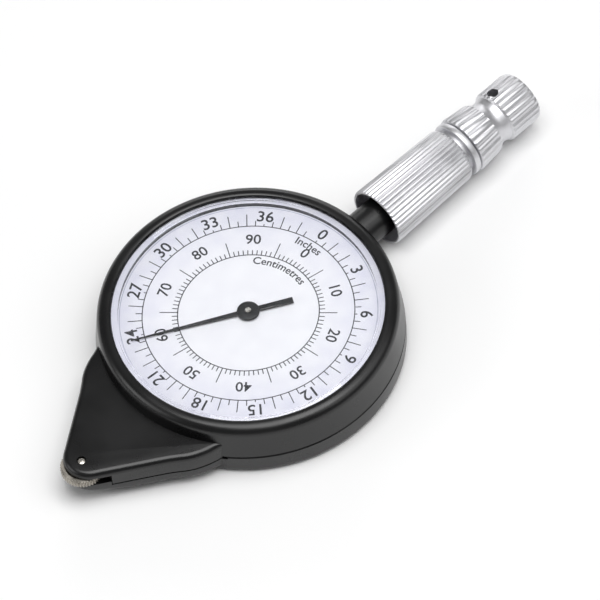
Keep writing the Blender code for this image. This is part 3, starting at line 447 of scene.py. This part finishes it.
def peg(name, radius, low, high, x=0.0, y=0.0, sides=48):
    """An upright round bar between two heights, used to cut with or to build on."""
    bpy.ops.object.select_all(action="DESELECT")
    bpy.ops.mesh.primitive_cylinder_add(
        vertices=sides, radius=radius, depth=high - low, location=(x, y, (low + high) / 2),
    )
    made = bpy.context.object
    made.name = name
    return settle(made)


def combine(target, others, operation):
    """Adds other shapes to a piece or cuts them from it, and removes them."""
    for other in others:
        step = target.modifiers.new(other.name, "BOOLEAN")
        step.operation = operation
        step.object = other
        step.solver = "EXACT"
        apply_all(target)
        bpy.data.objects.remove(other)
    return target


def pick_edges(thing, wanted):
    """Selects the edges whose two ends both pass the test, in edit mode."""
    pick(thing)
    bpy.ops.object.mode_set(mode="EDIT")
    bpy.ops.mesh.select_mode(type="EDGE")
    bpy.ops.mesh.select_all(action="DESELECT")
    bpy.ops.object.mode_set(mode="OBJECT")
    points = [vert.co for vert in thing.data.vertices]
    for edge in thing.data.edges:
        edge.select = all(wanted(points[index]) for index in edge.vertices)
    bpy.ops.object.mode_set(mode="EDIT")


def soften(thing, width, segments, degrees):
    """Rounds the edges that are sharper than an angle."""
    bevel = thing.modifiers.new("Soft edges", "BEVEL")
    bevel.width = width
    bevel.segments = segments
    bevel.limit_method = "ANGLE"
    bevel.angle_limit = math.radians(degrees)
    bevel.harden_normals = False
    return apply_all(thing)


def lay(thing, x, towards=1):
    """Lays an upright piece on the handle's axis, its foot at x and its top towards +X, or -X for -1."""
    thing.location = (x, 0, HANDLE_Z)
    thing.rotation_euler.y = math.pi / 2 * towards
    return settle(thing)


def finish_piece(thing, body, look, replaced=(), degrees=30):
    """Gives a modelled piece its material, its body and the nodes that it stands for."""
    settle(thing)
    bpy.ops.object.shade_smooth_by_angle(angle=math.radians(degrees))
    thing.data.materials.clear()
    thing.data.materials.append(look)
    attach(thing, body)
    if replaced:
        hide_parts(*replaced)
    return thing


def arc(centre, radius, start, end, points):
    """Points along part of a circle."""
    angles = [start + (end - start) * i / (points - 1) for i in range(points)]
    return [(centre[0] + radius * math.cos(a), centre[1] + radius * math.sin(a)) for a in angles]


# ---- Places taken from the frame

crystal_low, crystal_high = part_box("crystal")
dial_low, dial_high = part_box("dial")
wheel_low, wheel_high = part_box("measuring_wheel")
pin_low, pin_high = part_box("wheel_pin")
pointer_low, pointer_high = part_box("pointer")
stem_low, stem_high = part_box("stem")
plug_low, plug_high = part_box("handle_plug")
barrel_low, barrel_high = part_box("handle_barrel")
ring_low, ring_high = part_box("swivel_ring")
cap_low, cap_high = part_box("end_cap")

HANDLE_Z = (barrel_low.z + barrel_high.z) / 2
CASE_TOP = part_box("upper_case")[1].z
BASE_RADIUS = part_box("lower_case")[1].y
WINDOW_RADIUS = crystal_high.x + SNUG
PIN_HEAD = (pin_high.x - pin_low.x) / 2
WHEEL_X = (pin_low.x + pin_high.x) / 2
WHEEL_RADIUS = (wheel_high.x - wheel_low.x) / 2


# ---- Case

def nose_outline(inset=0.0):
    """The nose from above: a round tip, straight flanks and a hollow flare into the case."""
    tip = arc((NOSE_TIP_X, 0), NOSE_TIP_RADIUS - inset, math.pi, math.pi / 2 + NOSE_SLOPE, 18)
    tangent_x = NOSE_TIP_X - NOSE_TIP_RADIUS * math.sin(NOSE_SLOPE)
    tangent_y = NOSE_TIP_RADIUS * math.cos(NOSE_SLOPE)
    flare_y = tangent_y + (NOSE_FLARE_X - tangent_x) * math.tan(NOSE_SLOPE)
    centre = (
        NOSE_FLARE_X - NOSE_FLARE_RADIUS * math.sin(NOSE_SLOPE),
        flare_y + NOSE_FLARE_RADIUS * math.cos(NOSE_SLOPE),
    )
    square = math.pi / 2
    flare = arc(centre, NOSE_FLARE_RADIUS + inset, NOSE_SLOPE - square, NOSE_FLARE_END - square, 16)
    side = tip + flare + rounded_corner(flare[-1], inset)
    return side + [(x, -y) for x, y in reversed(side[1:])]


def rounded_corner(start, inset):
    """The end of the flare: it turns over softly and runs into the round case."""
    bend = (start[0] + 2.2 * MM, start[1] + 1.85 * MM)
    end = (NOSE_END_X, start[1] + 2.5 * MM - inset / 4)
    steps = 8

    def point(t):
        return tuple(
            (1 - t) ** 2 * a + 2 * t * (1 - t) * b + t ** 2 * c for a, b, c in zip(start, bend, end)
        )

    return [point(step / steps) for step in range(1, steps + 1)]


def cut_stem_seat(shell, name):
    """Bores the case's wall for the foot of the handle's stem."""
    radius = stem_high.y + SNUG
    seat = turned(name, [(radius, -MM), (radius, 3 * MM)], 64)
    combine(shell, [lay(seat, stem_low.x + STEM_SEAT_DEPTH)], "DIFFERENCE")


def make_upper_case():
    """The bezel, the ledge under the dial, the wall down to the seam and the roof of the nose."""
    low = SEAM_Z + SEAM_GAP / 2
    ledge_top = dial_low.z - SNUG
    bore = BEZEL_RADIUS - CASE_WALL
    fillet = arc((BEZEL_RADIUS - BEZEL_FILLET, CASE_TOP - BEZEL_FILLET), BEZEL_FILLET, math.pi / 2, 0, 10)
    shell = turned("upper_case_shell", [
        (LEDGE_RADIUS, ledge_top), (WINDOW_RADIUS, ledge_top), (WINDOW_RADIUS, CASE_TOP - WINDOW_CHAMFER),
        (WINDOW_RADIUS + WINDOW_CHAMFER * 0.3, CASE_TOP - WINDOW_CHAMFER * 0.3),
        (WINDOW_RADIUS + WINDOW_CHAMFER, CASE_TOP), *fillet,
        (BASE_RADIUS, low + SEAM_CHAMFER), (BASE_RADIUS - SEAM_CHAMFER, low), (bore, low),
        (bore, ledge_top - LEDGE_THICKNESS), (LEDGE_RADIUS, ledge_top - LEDGE_THICKNESS),
    ], CASE_SIDES, closed=True)
    nose_low = NOSE_SEAM_Z + SEAM_GAP / 2
    roof = traced("nose_roof", nose_outline(), nose_low, NOSE_TOP)
    pick_edges(roof, lambda p: p.z > NOSE_TOP - HAIR and p.x < NOSE_END_X - HAIR)
    bpy.ops.mesh.bevel(offset=NOSE_ROUND, segments=6, affect="EDGES")
    bpy.ops.object.mode_set(mode="OBJECT")
    pick_edges(roof, lambda p: p.z < nose_low + HAIR)
    bpy.ops.mesh.bevel(offset=SEAM_CHAMFER, segments=1, affect="EDGES")
    bpy.ops.object.mode_set(mode="OBJECT")
    combine(roof, [
        traced("roof_hollow", nose_outline(NOSE_WALL), -MM, NOSE_CEILING),
        block("slot_mouth", (-FAR, -FAR, -MM), (SLOT_MOUTH_X, FAR, NOSE_CEILING)),
        peg("wheel_room", WHEEL_RADIUS + FREE, wheel_low.z - FREE, NOSE_CEILING, WHEEL_X, sides=96),
        peg("pin_recess", PIN_HEAD + SNUG, pin_high.z - RECESS_DEPTH, NOSE_TOP + MM, WHEEL_X),
        peg("bore_of_case", bore, -MM, CASE_TOP, sides=CASE_SIDES),
    ], "DIFFERENCE")
    combine(shell, [roof], "UNION")
    cut_stem_seat(shell, "upper_stem_seat")
    return finish_piece(shell, "case", BLACK, ["upper_case"], 32)


def make_lower_case():
    """The tray with its lip inside the upper case, and the lower half of the nose."""
    top = SEAM_Z - SEAM_GAP / 2
    lip_top = SEAM_Z + LIP_HEIGHT
    inside = LIP_RADIUS - LIP_WALL
    fillet = arc((BASE_RADIUS - BACK_FILLET, BACK_FILLET), BACK_FILLET, -math.pi / 2, 0, 8)
    shell = turned("lower_case_shell", [
        *fillet, (BASE_RADIUS, top - SEAM_CHAMFER), (BASE_RADIUS - SEAM_CHAMFER, top),
        (LIP_RADIUS, top), (LIP_RADIUS, lip_top), (inside, lip_top), (inside, CASE_FLOOR),
    ], CASE_SIDES)
    nose_top = NOSE_SEAM_Z - SEAM_GAP / 2
    above = block("above_nose", (-FAR, -FAR, nose_top), (SEAM_STEP_X + SEAM_GAP, FAR, FAR))
    combine(shell, [above], "DIFFERENCE")
    back = traced("nose_back", nose_outline(), NOSE_BACK_Z, NOSE_TIP_LOW_TOP)
    pick(back)
    bpy.ops.object.mode_set(mode="EDIT")
    bpy.ops.mesh.select_all(action="SELECT")
    bpy.ops.mesh.bisect(
        plane_co=(NOSE_BACK_SLOPE_X, 0, NOSE_BACK_Z),
        plane_no=(math.sin(NOSE_BACK_SLOPE), 0, math.cos(NOSE_BACK_SLOPE)),
        use_fill=True, clear_inner=True,
    )
    bpy.ops.object.mode_set(mode="OBJECT")

    def on_the_back(p):
        rise = max(0.0, (NOSE_BACK_SLOPE_X - p.x) * math.tan(NOSE_BACK_SLOPE))
        inner = abs(p.x - NOSE_BACK_SLOPE_X) < HAIR and abs(p.y) < NOSE_TIP_RADIUS
        return p.z < NOSE_BACK_Z + rise + HAIR and p.x < NOSE_END_X - HAIR and not inner

    pick_edges(back, on_the_back)
    bpy.ops.mesh.bevel(offset=NOSE_ROUND, segments=5, affect="EDGES")
    bpy.ops.object.mode_set(mode="OBJECT")
    above = block("above_back", (SLOT_MOUTH_X - SEAM_GAP, -FAR, nose_top), (FAR, FAR, FAR))
    combine(back, [above], "DIFFERENCE")
    combine(shell, [back], "UNION")
    hollow = traced("lower_nose_hollow", nose_outline(NOSE_WALL), NOSE_BACK_Z + NOSE_FLOOR, FAR)
    front = block("hollow_front", (-FAR, -FAR, -MM), (HOLLOW_FRONT_X, FAR, 2 * FAR))
    combine(hollow, [front], "DIFFERENCE")
    gear_low, gear_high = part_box("first_gear")
    gear_x = (gear_low.x + gear_high.x) / 2
    gear_radius = (gear_high.x - gear_low.x) / 2 + FREE
    combine(shell, [
        hollow,
        peg("first_gear_room", gear_radius, POCKET_FLOOR, FAR, gear_x, sides=96),
        peg("pinion_pocket", PINION_POCKET, POCKET_FLOOR, FAR, WHEEL_X, sides=64),
    ], "DIFFERENCE")
    for index in range(1, 5):
        low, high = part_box(f"case_screw_{index}")
        x, y = (low.x + high.x) / 2, (low.y + high.y) / 2
        recess = peg(f"back_recess_{index}", (high.x - low.x) / 2 + SNUG, -MM, BACK_RECESS, x, y)
        combine(shell, [recess], "DIFFERENCE")
    cut_stem_seat(shell, "lower_stem_seat")
    return finish_piece(shell, "case", BLACK, ["lower_case"], 32)


def make_crystal():
    """The pane over the dial, with a low rim turned down round its edge."""
    edge = crystal_high.x
    thickness = 0.6 * MM
    skirt = 0.9 * MM
    pane = turned("crystal_pane", [
        (edge - skirt, crystal_high.z - thickness), (edge - skirt, crystal_low.z), (edge, crystal_low.z),
        (edge, crystal_high.z - 0.35 * MM), (edge - 0.15 * MM, crystal_high.z - 0.2 * MM),
        (edge - 0.6 * MM, crystal_high.z),
    ], 128)
    return finish_piece(pane, "case", CLEAR, ["crystal"], 15)


def make_dial():
    """The card disc, with a hole for the pointer's arbor and its upper edge just broken."""
    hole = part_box("centre_arbor")[1].x + FREE
    edge = dial_high.x
    worn = 0.05 * MM
    disc = turned("dial_card", [
        (hole, dial_high.z), (edge - worn, dial_high.z), (edge, dial_high.z - worn),
        (edge, dial_low.z), (hole, dial_low.z),
    ], 128, closed=True)
    return finish_piece(disc, "case", CARD, ["dial"])


# ---- Print on the dial

def printed_ring(name, radius, width):
    """A thin raised ring of ink."""
    z = dial_high.z
    return turned(name, [
        (radius - width / 2, z), (radius - width / 2, z + HAIR), (radius + width / 2, z + HAIR),
        (radius + width / 2, z),
    ], 180, closed=True)


def copy_of(thing, turn):
    """A copy with its own mesh, turned about the dial's centre."""
    made = thing.copy()
    made.data = thing.data.copy()
    made.data.transform(Matrix.Rotation(turn, 4, "Z"))
    bpy.context.scene.collection.objects.link(made)
    return made


def printed_ticks(name, start, end, angles, width=TICK_WIDTH):
    """One stroke modelled on +X, and its copies turned to each angle."""
    z = dial_high.z
    first = block(name, (start, -width / 2, z), (end, width / 2, z + HAIR))
    made = [copy_of(first, angle) for angle in angles]
    bpy.data.objects.remove(first)
    return made


def lettering(name, text, size):
    """Type laid flat on the dial, with its middle at the origin, as a mesh."""
    bpy.ops.object.select_all(action="DESELECT")
    bpy.ops.object.text_add(location=(0, 0, 0))
    made = bpy.context.object
    made.name = name
    made.data.body = text
    made.data.size = size
    made.data.extrude = HAIR / 2
    made.data.offset = WEIGHT * size
    made.data.align_x = "CENTER"
    made.data.align_y = "CENTER"
    made.data.resolution_u = 3
    bpy.ops.object.convert(target="MESH")
    made = bpy.context.object
    bpy.ops.object.mode_set(mode="EDIT")
    bpy.ops.mesh.select_all(action="SELECT")
    bpy.ops.mesh.remove_doubles(threshold=HAIR / 10)
    bpy.ops.mesh.normals_make_consistent(inside=False)
    bpy.ops.object.mode_set(mode="OBJECT")
    made.data.transform(Matrix.Translation((0, 0, dial_high.z + HAIR / 2)))
    return made


def numeral(text, size, radius, angle):
    """A figure that stands upright when its place on the dial is at the top."""
    made = lettering(f"figure_{text}", text, size)
    made.data.transform(Matrix.Translation((0, radius, 0)))
    made.data.transform(Matrix.Rotation(angle - math.pi / 2, 4, "Z"))
    return made


def curved_word(text, size, radius, angle):
    """A word bent round the dial's centre, with its middle at an angle."""
    made = lettering(f"word_{text}", text, size)
    for vert in made.data.vertices:
        turn = angle - vert.co.x / radius
        reach = radius + vert.co.y
        vert.co = (reach * math.cos(turn), reach * math.sin(turn), vert.co.z)
    return made


def join_all(name, things):
    """Makes several objects one."""
    pick(things[0])
    for thing in things:
        thing.select_set(True)
    bpy.ops.object.join()
    things[0].name = name
    return things[0]


def make_print():
    """Two scales on one turn: 100 centimetres inside, and 39 inches and a bit outside."""
    def centimetre(value):
        return ZERO_ANGLE - 2 * math.pi * value / 100

    def inch(value):
        return ZERO_ANGLE - 2 * math.pi * value / INCHES_PER_TURN

    strokes = [
        printed_ring("inner_line", INNER_LINE, LINE_WIDTH),
        printed_ring("outer_line", OUTER_LINE, LINE_WIDTH),
    ]
    ones = [centimetre(value) for value in range(100) if value % 5 or not value % 10]
    fives = [centimetre(value) for value in range(5, 100, 10)]
    wholes = [inch(value) for value in range(39) if value % 3]
    halves = [inch(value + 0.5) for value in range(39)]
    threes = [inch(value) for value in range(0, 39, 3)]
    strokes += printed_ticks("centimetre", INNER_LINE, CENTIMETRE_TICK, ones)
    strokes += printed_ticks("five_centimetres", INNER_LINE, FIVE_CENTIMETRE_TICK, fives)
    strokes += printed_ticks("inch", OUTER_LINE, INCH_TICK, wholes)
    strokes += printed_ticks("half_inch", OUTER_LINE, HALF_INCH_TICK, halves)
    strokes += printed_ticks("three_inches", OUTER_LINE, THREE_INCH_TICK, threes)
    for value in range(0, 100, 10):
        angle = centimetre(value)
        strokes.append(numeral(str(value), CENTIMETRE_FIGURE_SIZE, CENTIMETRE_FIGURES, angle))
    for value in range(0, 39, 3):
        strokes.append(numeral(str(value), INCH_FIGURE_SIZE, INCH_FIGURES, inch(value)))
    strokes.append(curved_word("Inches", WORD_SIZE, 14.35 * MM, math.radians(8)))
    strokes.append(curved_word("Centimetres", WORD_SIZE, 9.2 * MM, math.radians(14)))
    finish_piece(join_all("dial_print", strokes), "case", INK)
    finish_piece(printed_ring("dial_rim_line", RIM_LINE, RIM_LINE_WIDTH), "case", RIM_INK)


# ---- Pointer, wheel, pin and screws

def make_pointer():
    """A flat lacquered needle with a blunt tail, on a low domed hub that has a hole in its middle."""
    reach, tail = 17.5 * MM, 6.7 * MM
    half = [(-tail, 0.5 * MM), (0, 0.42 * MM), (reach, 0.06 * MM)]
    outline = half + [(x, -y) for x, y in reversed(half)]
    low, top = pointer_low.z, pointer_high.z
    thickness = 0.25 * MM
    needle = traced("pointer_needle", outline, low, low + thickness)
    soften(needle, 0.05 * MM, 2, 60)
    hub_radius, dome, bore, break_edge = 1.65 * MM, 0.9 * MM, 0.5 * MM, 0.03 * MM
    hub = turned("pointer_hub", [
        (hub_radius, low), (hub_radius, low + thickness), (hub_radius - 0.08 * MM, low + 0.33 * MM),
        (hub_radius - 0.25 * MM, top - break_edge), (dome, top), (bore + SNUG, top),
        (bore, top - break_edge), (bore, low),
    ], 64, closed=True)
    combine(needle, [peg("pointer_bore", 0.52 * MM, 0, 10 * MM, sides=64)], "DIFFERENCE")
    combine(needle, [hub], "UNION")
    needle.data.transform(Matrix.Rotation(POINTER_ANGLE, 4, "Z"))
    return finish_piece(needle, "pointer", LACQUER, ["pointer"], 30)


def make_wheel():
    """The serrated wheel: teeth pressed into a rim, with a raised boss round the pin."""
    teeth = 44
    depth, crest = 0.22 * MM, 0.02 * MM
    pitch = 2 * math.pi / teeth
    outline = []
    for index in range(teeth):
        for offset, inset in ((-0.5, depth), (-0.16, crest), (0.16, crest)):
            angle = (index + offset) * pitch
            reach = WHEEL_RADIUS - inset
            outline.append((reach * math.cos(angle), reach * math.sin(angle)))
    wheel = traced("serrated_wheel", outline, wheel_low.z, wheel_high.z)
    soften(wheel, 0.05 * MM, 1, 75)
    boss, rim, face_depth = 1.15 * MM, 2.55 * MM, 0.12 * MM
    for name, z, side in (("top_face", wheel_high.z, 1), ("back_face", wheel_low.z, -1)):
        floor = z - side * face_depth
        dish = turned(name, [
            (boss, z + side * MM), (boss, z - side * face_depth * 0.4), (boss + 0.2 * MM, floor),
            (rim - 0.25 * MM, floor), (rim, z + side * SNUG), (rim, z + side * MM),
        ], 64, closed=True)
        combine(wheel, [dish], "DIFFERENCE")
    bore = PIN_HEAD - HEAD_MARGIN + 0.06 * MM
    combine(wheel, [peg("wheel_bore", bore, 0, 10 * MM)], "DIFFERENCE")
    wheel.data.transform(Matrix.Translation((WHEEL_X, 0, 0)))
    return finish_piece(wheel, "wheel", WORN_STEEL, ["measuring_wheel"], 28)


def make_pin():
    """The wheel's pin, with a domed bright head in a recess of the nose."""
    head = PIN_HEAD
    shank = head - HEAD_MARGIN
    top = pin_high.z
    pin = turned("domed_wheel_pin", [
        (shank, pin_low.z), (shank, top - 0.35 * MM), (head, top - 0.35 * MM), (head, top - 0.2 * MM),
        (head * 0.93, top - 0.12 * MM), (head * 0.75, top - 0.05 * MM), (head * 0.4, top),
    ], 48)
    pin.data.transform(Matrix.Translation((WHEEL_X, 0, 0)))
    return finish_piece(pin, "case", NICKEL, ["wheel_pin"], 35)


def make_back_screws():
    """Four small cross-slotted screws, modelled once: a flat head with a turned edge."""
    low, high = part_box("case_screw_1")
    head = (high.x - low.x) / 2
    foot = low.z
    shank, head_height, chamfer = 0.5 * MM, 0.45 * MM, 0.12 * MM
    first = turned("back_screw", [
        (head * 0.55, foot), (head - chamfer, foot + 0.02 * MM), (head, foot + chamfer),
        (head, foot + head_height), (shank, foot + head_height), (shank, high.z),
    ], 48)
    arm, half_slot, slot_depth = head * 0.6, 0.14 * MM, 0.2 * MM
    for index, turn in enumerate((0, math.pi / 2)):
        slot = block(f"slot_{index}", (-arm, -half_slot, foot - MM), (arm, half_slot, foot + slot_depth))
        slot.data.transform(Matrix.Rotation(turn + math.radians(20), 4, "Z"))
        combine(first, [slot], "DIFFERENCE")
    for index in range(1, 5):
        low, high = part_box(f"case_screw_{index}")
        made = copy_of(first, math.radians(37 * index))
        made.name = f"back_screw_{index}"
        made.data.transform(Matrix.Translation(((low.x + high.x) / 2, (low.y + high.y) / 2, 0)))
        finish_piece(made, "case", NICKEL, [f"case_screw_{index}"])
    bpy.data.objects.remove(first)


# ---- Handle

def press_grooves(thing, ribs, depth_at):
    """Presses rounded grooves between the ribs of an upright bar. depth_at gives their depth at a height."""
    for vert in thing.data.vertices:
        reach = math.hypot(vert.co.x, vert.co.y)
        depth = depth_at(vert.co.z, reach)
        if depth <= 0:
            continue
        phase = (math.atan2(vert.co.y, vert.co.x) * ribs / (2 * math.pi)) % 1.0
        wave = 0.5 - 0.5 * math.cos(2 * math.pi * phase)
        share = 1 - depth * wave ** 1.6 / reach
        vert.co.x *= share
        vert.co.y *= share


def make_stem():
    """The black stem out of the case, and the plug that holds it in the barrel."""
    length = stem_high.x - stem_low.x
    radius = stem_high.y
    stem = turned("stem_rod", [
        (radius - 0.1 * MM, 0), (radius, 0.1 * MM), (radius, length - 0.3 * MM), (radius - 0.3 * MM, length),
    ], 64)
    finish_piece(lay(stem, stem_low.x), "case", BLACK, ["stem"], 40)
    inner = radius + SNUG
    outer = plug_high.y
    plug_length = plug_high.x - plug_low.x
    plug = turned("barrel_plug", [
        (inner, plug_length), (outer - 0.1 * MM, plug_length), (outer, plug_length - 0.1 * MM),
        (outer, 0.15 * MM), (outer - 0.15 * MM, 0), (inner + 0.1 * MM, 0), (inner, 0.1 * MM),
    ], 64, closed=True)
    finish_piece(lay(plug, plug_low.x), "case", BLACK, ["handle_plug"], 40)


def make_barrel():
    """The fluted grip: a tapered tube with a thin bright lip at its mouth and a wall at its far end."""
    length = barrel_high.x - barrel_low.x
    radius = (barrel_high.z - barrel_low.z) / 2
    end_radius = 4.42 * MM
    mouth = radius - RIB_DEPTH - 0.28 * MM
    bore = plug_high.y + SNUG
    mouth_depth, wall, rounding = 2.2 * MM, 1.3 * MM, 0.6 * MM
    barrel = turned("fluted_barrel", [
        (SCREW_BORE, length - wall), (bore, length - wall), (bore, mouth_depth), (mouth, mouth_depth),
        (mouth, 0.05 * MM), (mouth + 0.06 * MM, 0), (radius - RIB_DEPTH * 0.9, 0),
        (radius - RIB_DEPTH * 0.4, 0.08 * MM), (radius, 0.25 * MM), (end_radius, length - rounding),
        (end_radius - rounding * 0.13, length - rounding * 0.5),
        (end_radius - rounding * 0.4, length - rounding * 0.18),
        (end_radius - rounding, length), (SCREW_BORE, length),
    ], BARREL_RIBS * RIB_POINTS, closed=True)

    def depth(height, reach):
        in_mouth = reach < radius - RIB_DEPTH * 0.5 and height < MM
        inside = reach < mouth + 0.1 * MM and height < length - rounding
        if in_mouth or inside or height > length - rounding * 0.1:
            return 0
        return RIB_DEPTH * 0.5 if height > length - rounding * 0.4 else RIB_DEPTH

    press_grooves(barrel, BARREL_RIBS, depth)
    return finish_piece(lay(barrel, barrel_low.x), "case", ALUMINIUM, ["handle_barrel"], 40)


def make_ring():
    """The plain ring between the barrel and the end cap, on a narrow neck that leaves a groove."""
    radius = (ring_high.z - ring_low.z) / 2
    length = ring_high.x - ring_low.x
    neck, neck_length, edge = 3.5 * MM, 0.5 * MM, 0.18 * MM
    ring = turned("plain_ring", [
        (SCREW_BORE, 0), (neck, 0), (neck, neck_length), (radius - edge, neck_length),
        (radius - edge * 0.3, neck_length + edge * 0.3), (radius, neck_length + edge),
        (radius, length - edge), (radius - edge * 0.3, length - edge * 0.3),
        (radius - edge, length), (SCREW_BORE, length),
    ], 96, closed=True)
    return finish_piece(lay(ring, ring_low.x), "case", ALUMINIUM, ["swivel_ring"], 40)


def make_end_cap():
    """The swivelling cap: a ribbed collar, a smooth waist and a ribbed knob with a cross hole for a cord."""
    collar, collar_end, collar_length = 4.6 * MM, 4.25 * MM, 4.2 * MM
    waist, waist_length, knob, knob_round = 3.5 * MM, 3.1 * MM, 4.15 * MM, 0.8 * MM
    chamfer = 0.4 * MM
    waist_end = collar_length + waist_length
    end = cap_high.x - cap_low.x
    cap = turned("ribbed_cap", [
        (2.2 * MM, 0), (collar - chamfer, 0), (collar - chamfer * 0.4, chamfer * 0.25), (collar, chamfer),
        (collar_end, collar_length), (collar_end - chamfer * 0.3, collar_length + chamfer * 0.7),
        (collar_end - chamfer, collar_length + chamfer),
        (waist + 0.2 * MM, collar_length + waist_length * 0.28),
        (waist, collar_length + waist_length * 0.45),
        (waist + 0.05 * MM, collar_length + waist_length * 0.62),
        (knob - chamfer, waist_end - chamfer), (knob - chamfer * 0.3, waist_end - chamfer * 0.5),
        (knob, waist_end), (knob, end - knob_round), (knob - knob_round * 0.13, end - knob_round * 0.5),
        (knob - knob_round * 0.4, end - knob_round * 0.18), (knob - knob_round, end - 0.02 * MM),
        (1.2 * MM, end),
    ], CAP_RIBS * RIB_POINTS)

    def depth(height, reach):
        on_collar = chamfer * 0.9 < height < collar_length + chamfer * 0.5
        on_knob = waist_end - HAIR < height < end - knob_round * 0.3
        return CAP_RIB_DEPTH if on_collar or on_knob else 0

    press_grooves(cap, CAP_RIBS, depth)
    lay(cap, cap_low.x)
    hole = peg("cord_hole", CORD_HOLE_RADIUS, -12 * MM, 12 * MM)
    hole.rotation_euler.x = CORD_HOLE_TILT
    hole.location = (cap_low.x + waist_end + CORD_HOLE_OFFSET, 0, HANDLE_Z)
    settle(hole)
    screw = lay(turned("cap_thread", [(1.05 * MM, -MM), (1.05 * MM, 5.15 * MM)], 48), cap_low.x)
    combine(cap, [hole, screw], "DIFFERENCE")
    return finish_piece(cap, "end_cap", ALUMINIUM, ["end_cap"], 40)


# ---- The pieces inside keep their shapes and get better finishes

def dress(look, *names):
    """Gives nodes that keep their own shapes a real finish."""
    for name in names:
        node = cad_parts[name]
        node.data.materials.clear()
        node.data.materials.append(look)


def soft_box(name, direction, distance, size, power):
    """A rectangular lamp that faces the origin."""
    lamp = bpy.data.lights.new(name, "AREA")
    lamp.shape = "RECTANGLE"
    lamp.size, lamp.size_y = size
    lamp.energy = power
    thing = bpy.data.objects.new(name, lamp)
    bpy.context.scene.collection.objects.link(thing)
    direction = Vector(direction).normalized()
    thing.location = direction * distance
    thing.rotation_euler = direction.to_track_quat("Z", "Y").to_euler()


def make_studio():
    """A white paper floor, a soft box overhead and three more round it."""
    bpy.ops.object.select_all(action="DESELECT")
    bpy.ops.mesh.primitive_plane_add(size=4.0, location=(0, 0, cad_low[2] - 0.05 * MM))
    floor = bpy.context.object
    floor.name = "paper_floor"
    floor.data.materials.append(white_paper())

    world = bpy.context.scene.world or bpy.data.worlds.new("studio")
    bpy.context.scene.world = world
    world.use_nodes = True
    background = world.node_tree.nodes["Background"]
    background.inputs["Color"].default_value = linear("ffffff")
    background.inputs["Strength"].default_value = 0.2

    soft_box("overhead", (0.0, -0.1, 1.0), 0.55, (0.42, 0.42), 2.3)
    soft_box("front_box", (0.4, -0.55, 0.8), 0.6, (0.5, 0.4), 0.75)
    soft_box("left_fill", (-0.9, 0.55, 0.5), 0.6, (0.35, 0.25), 0.6)
    soft_box("back_fill", (0.75, 0.75, 0.35), 0.6, (0.4, 0.2), 0.6)


def make_camera():
    """A long lens over the near side, rolled a little."""
    azimuth, elevation, roll = math.radians(39.0), math.radians(54.31), math.radians(6.93)
    right = Vector((math.cos(azimuth), -math.sin(azimuth), 0))
    up = Vector((
        math.sin(azimuth) * math.sin(elevation), math.cos(azimuth) * math.sin(elevation), math.cos(elevation),
    ))
    back = right.cross(up)
    view_right = right * math.cos(roll) - up * math.sin(roll)
    view_up = right * math.sin(roll) + up * math.cos(roll)
    target = Vector((0, 0, 8.4 * MM)) + view_right * 7.483 * MM + view_up * 1.525 * MM
    distance = 1.2
    width = 86.55 * MM              # of what the frame takes in at the dial
    sensor = 36.0
    camera_data = bpy.data.cameras.new("camera")
    camera_data.sensor_width = sensor
    camera_data.lens = sensor * distance / width
    camera_data.clip_end = 20.0
    camera_data.clip_start = 0.05
    camera = bpy.data.objects.new("camera", camera_data)
    bpy.context.scene.collection.objects.link(camera)
    camera.matrix_world = Matrix.Translation(target + back * distance) @ Matrix((
        view_right, view_up, back,
    )).transposed().to_4x4()
    bpy.context.scene.camera = camera
    bpy.context.scene.view_settings.view_transform = "Standard"


make_studio()
make_camera()
make_upper_case()
make_lower_case()
make_crystal()
make_dial()
make_print()
make_pointer()
make_wheel()
make_pin()
make_back_screws()
make_stem()
make_barrel()
make_ring()
make_end_cap()
dress(BRASS, "bearing_plate", "centre_bush")
dress(NICKEL, "plate_screw_1", "plate_screw_2", "plate_screw_3", "first_arbor", "second_arbor",
      "centre_arbor", "stem_screw", "swivel_screw")
dress(ACETAL, "wheel_pinion", "first_gear", "second_gear", "centre_gear")
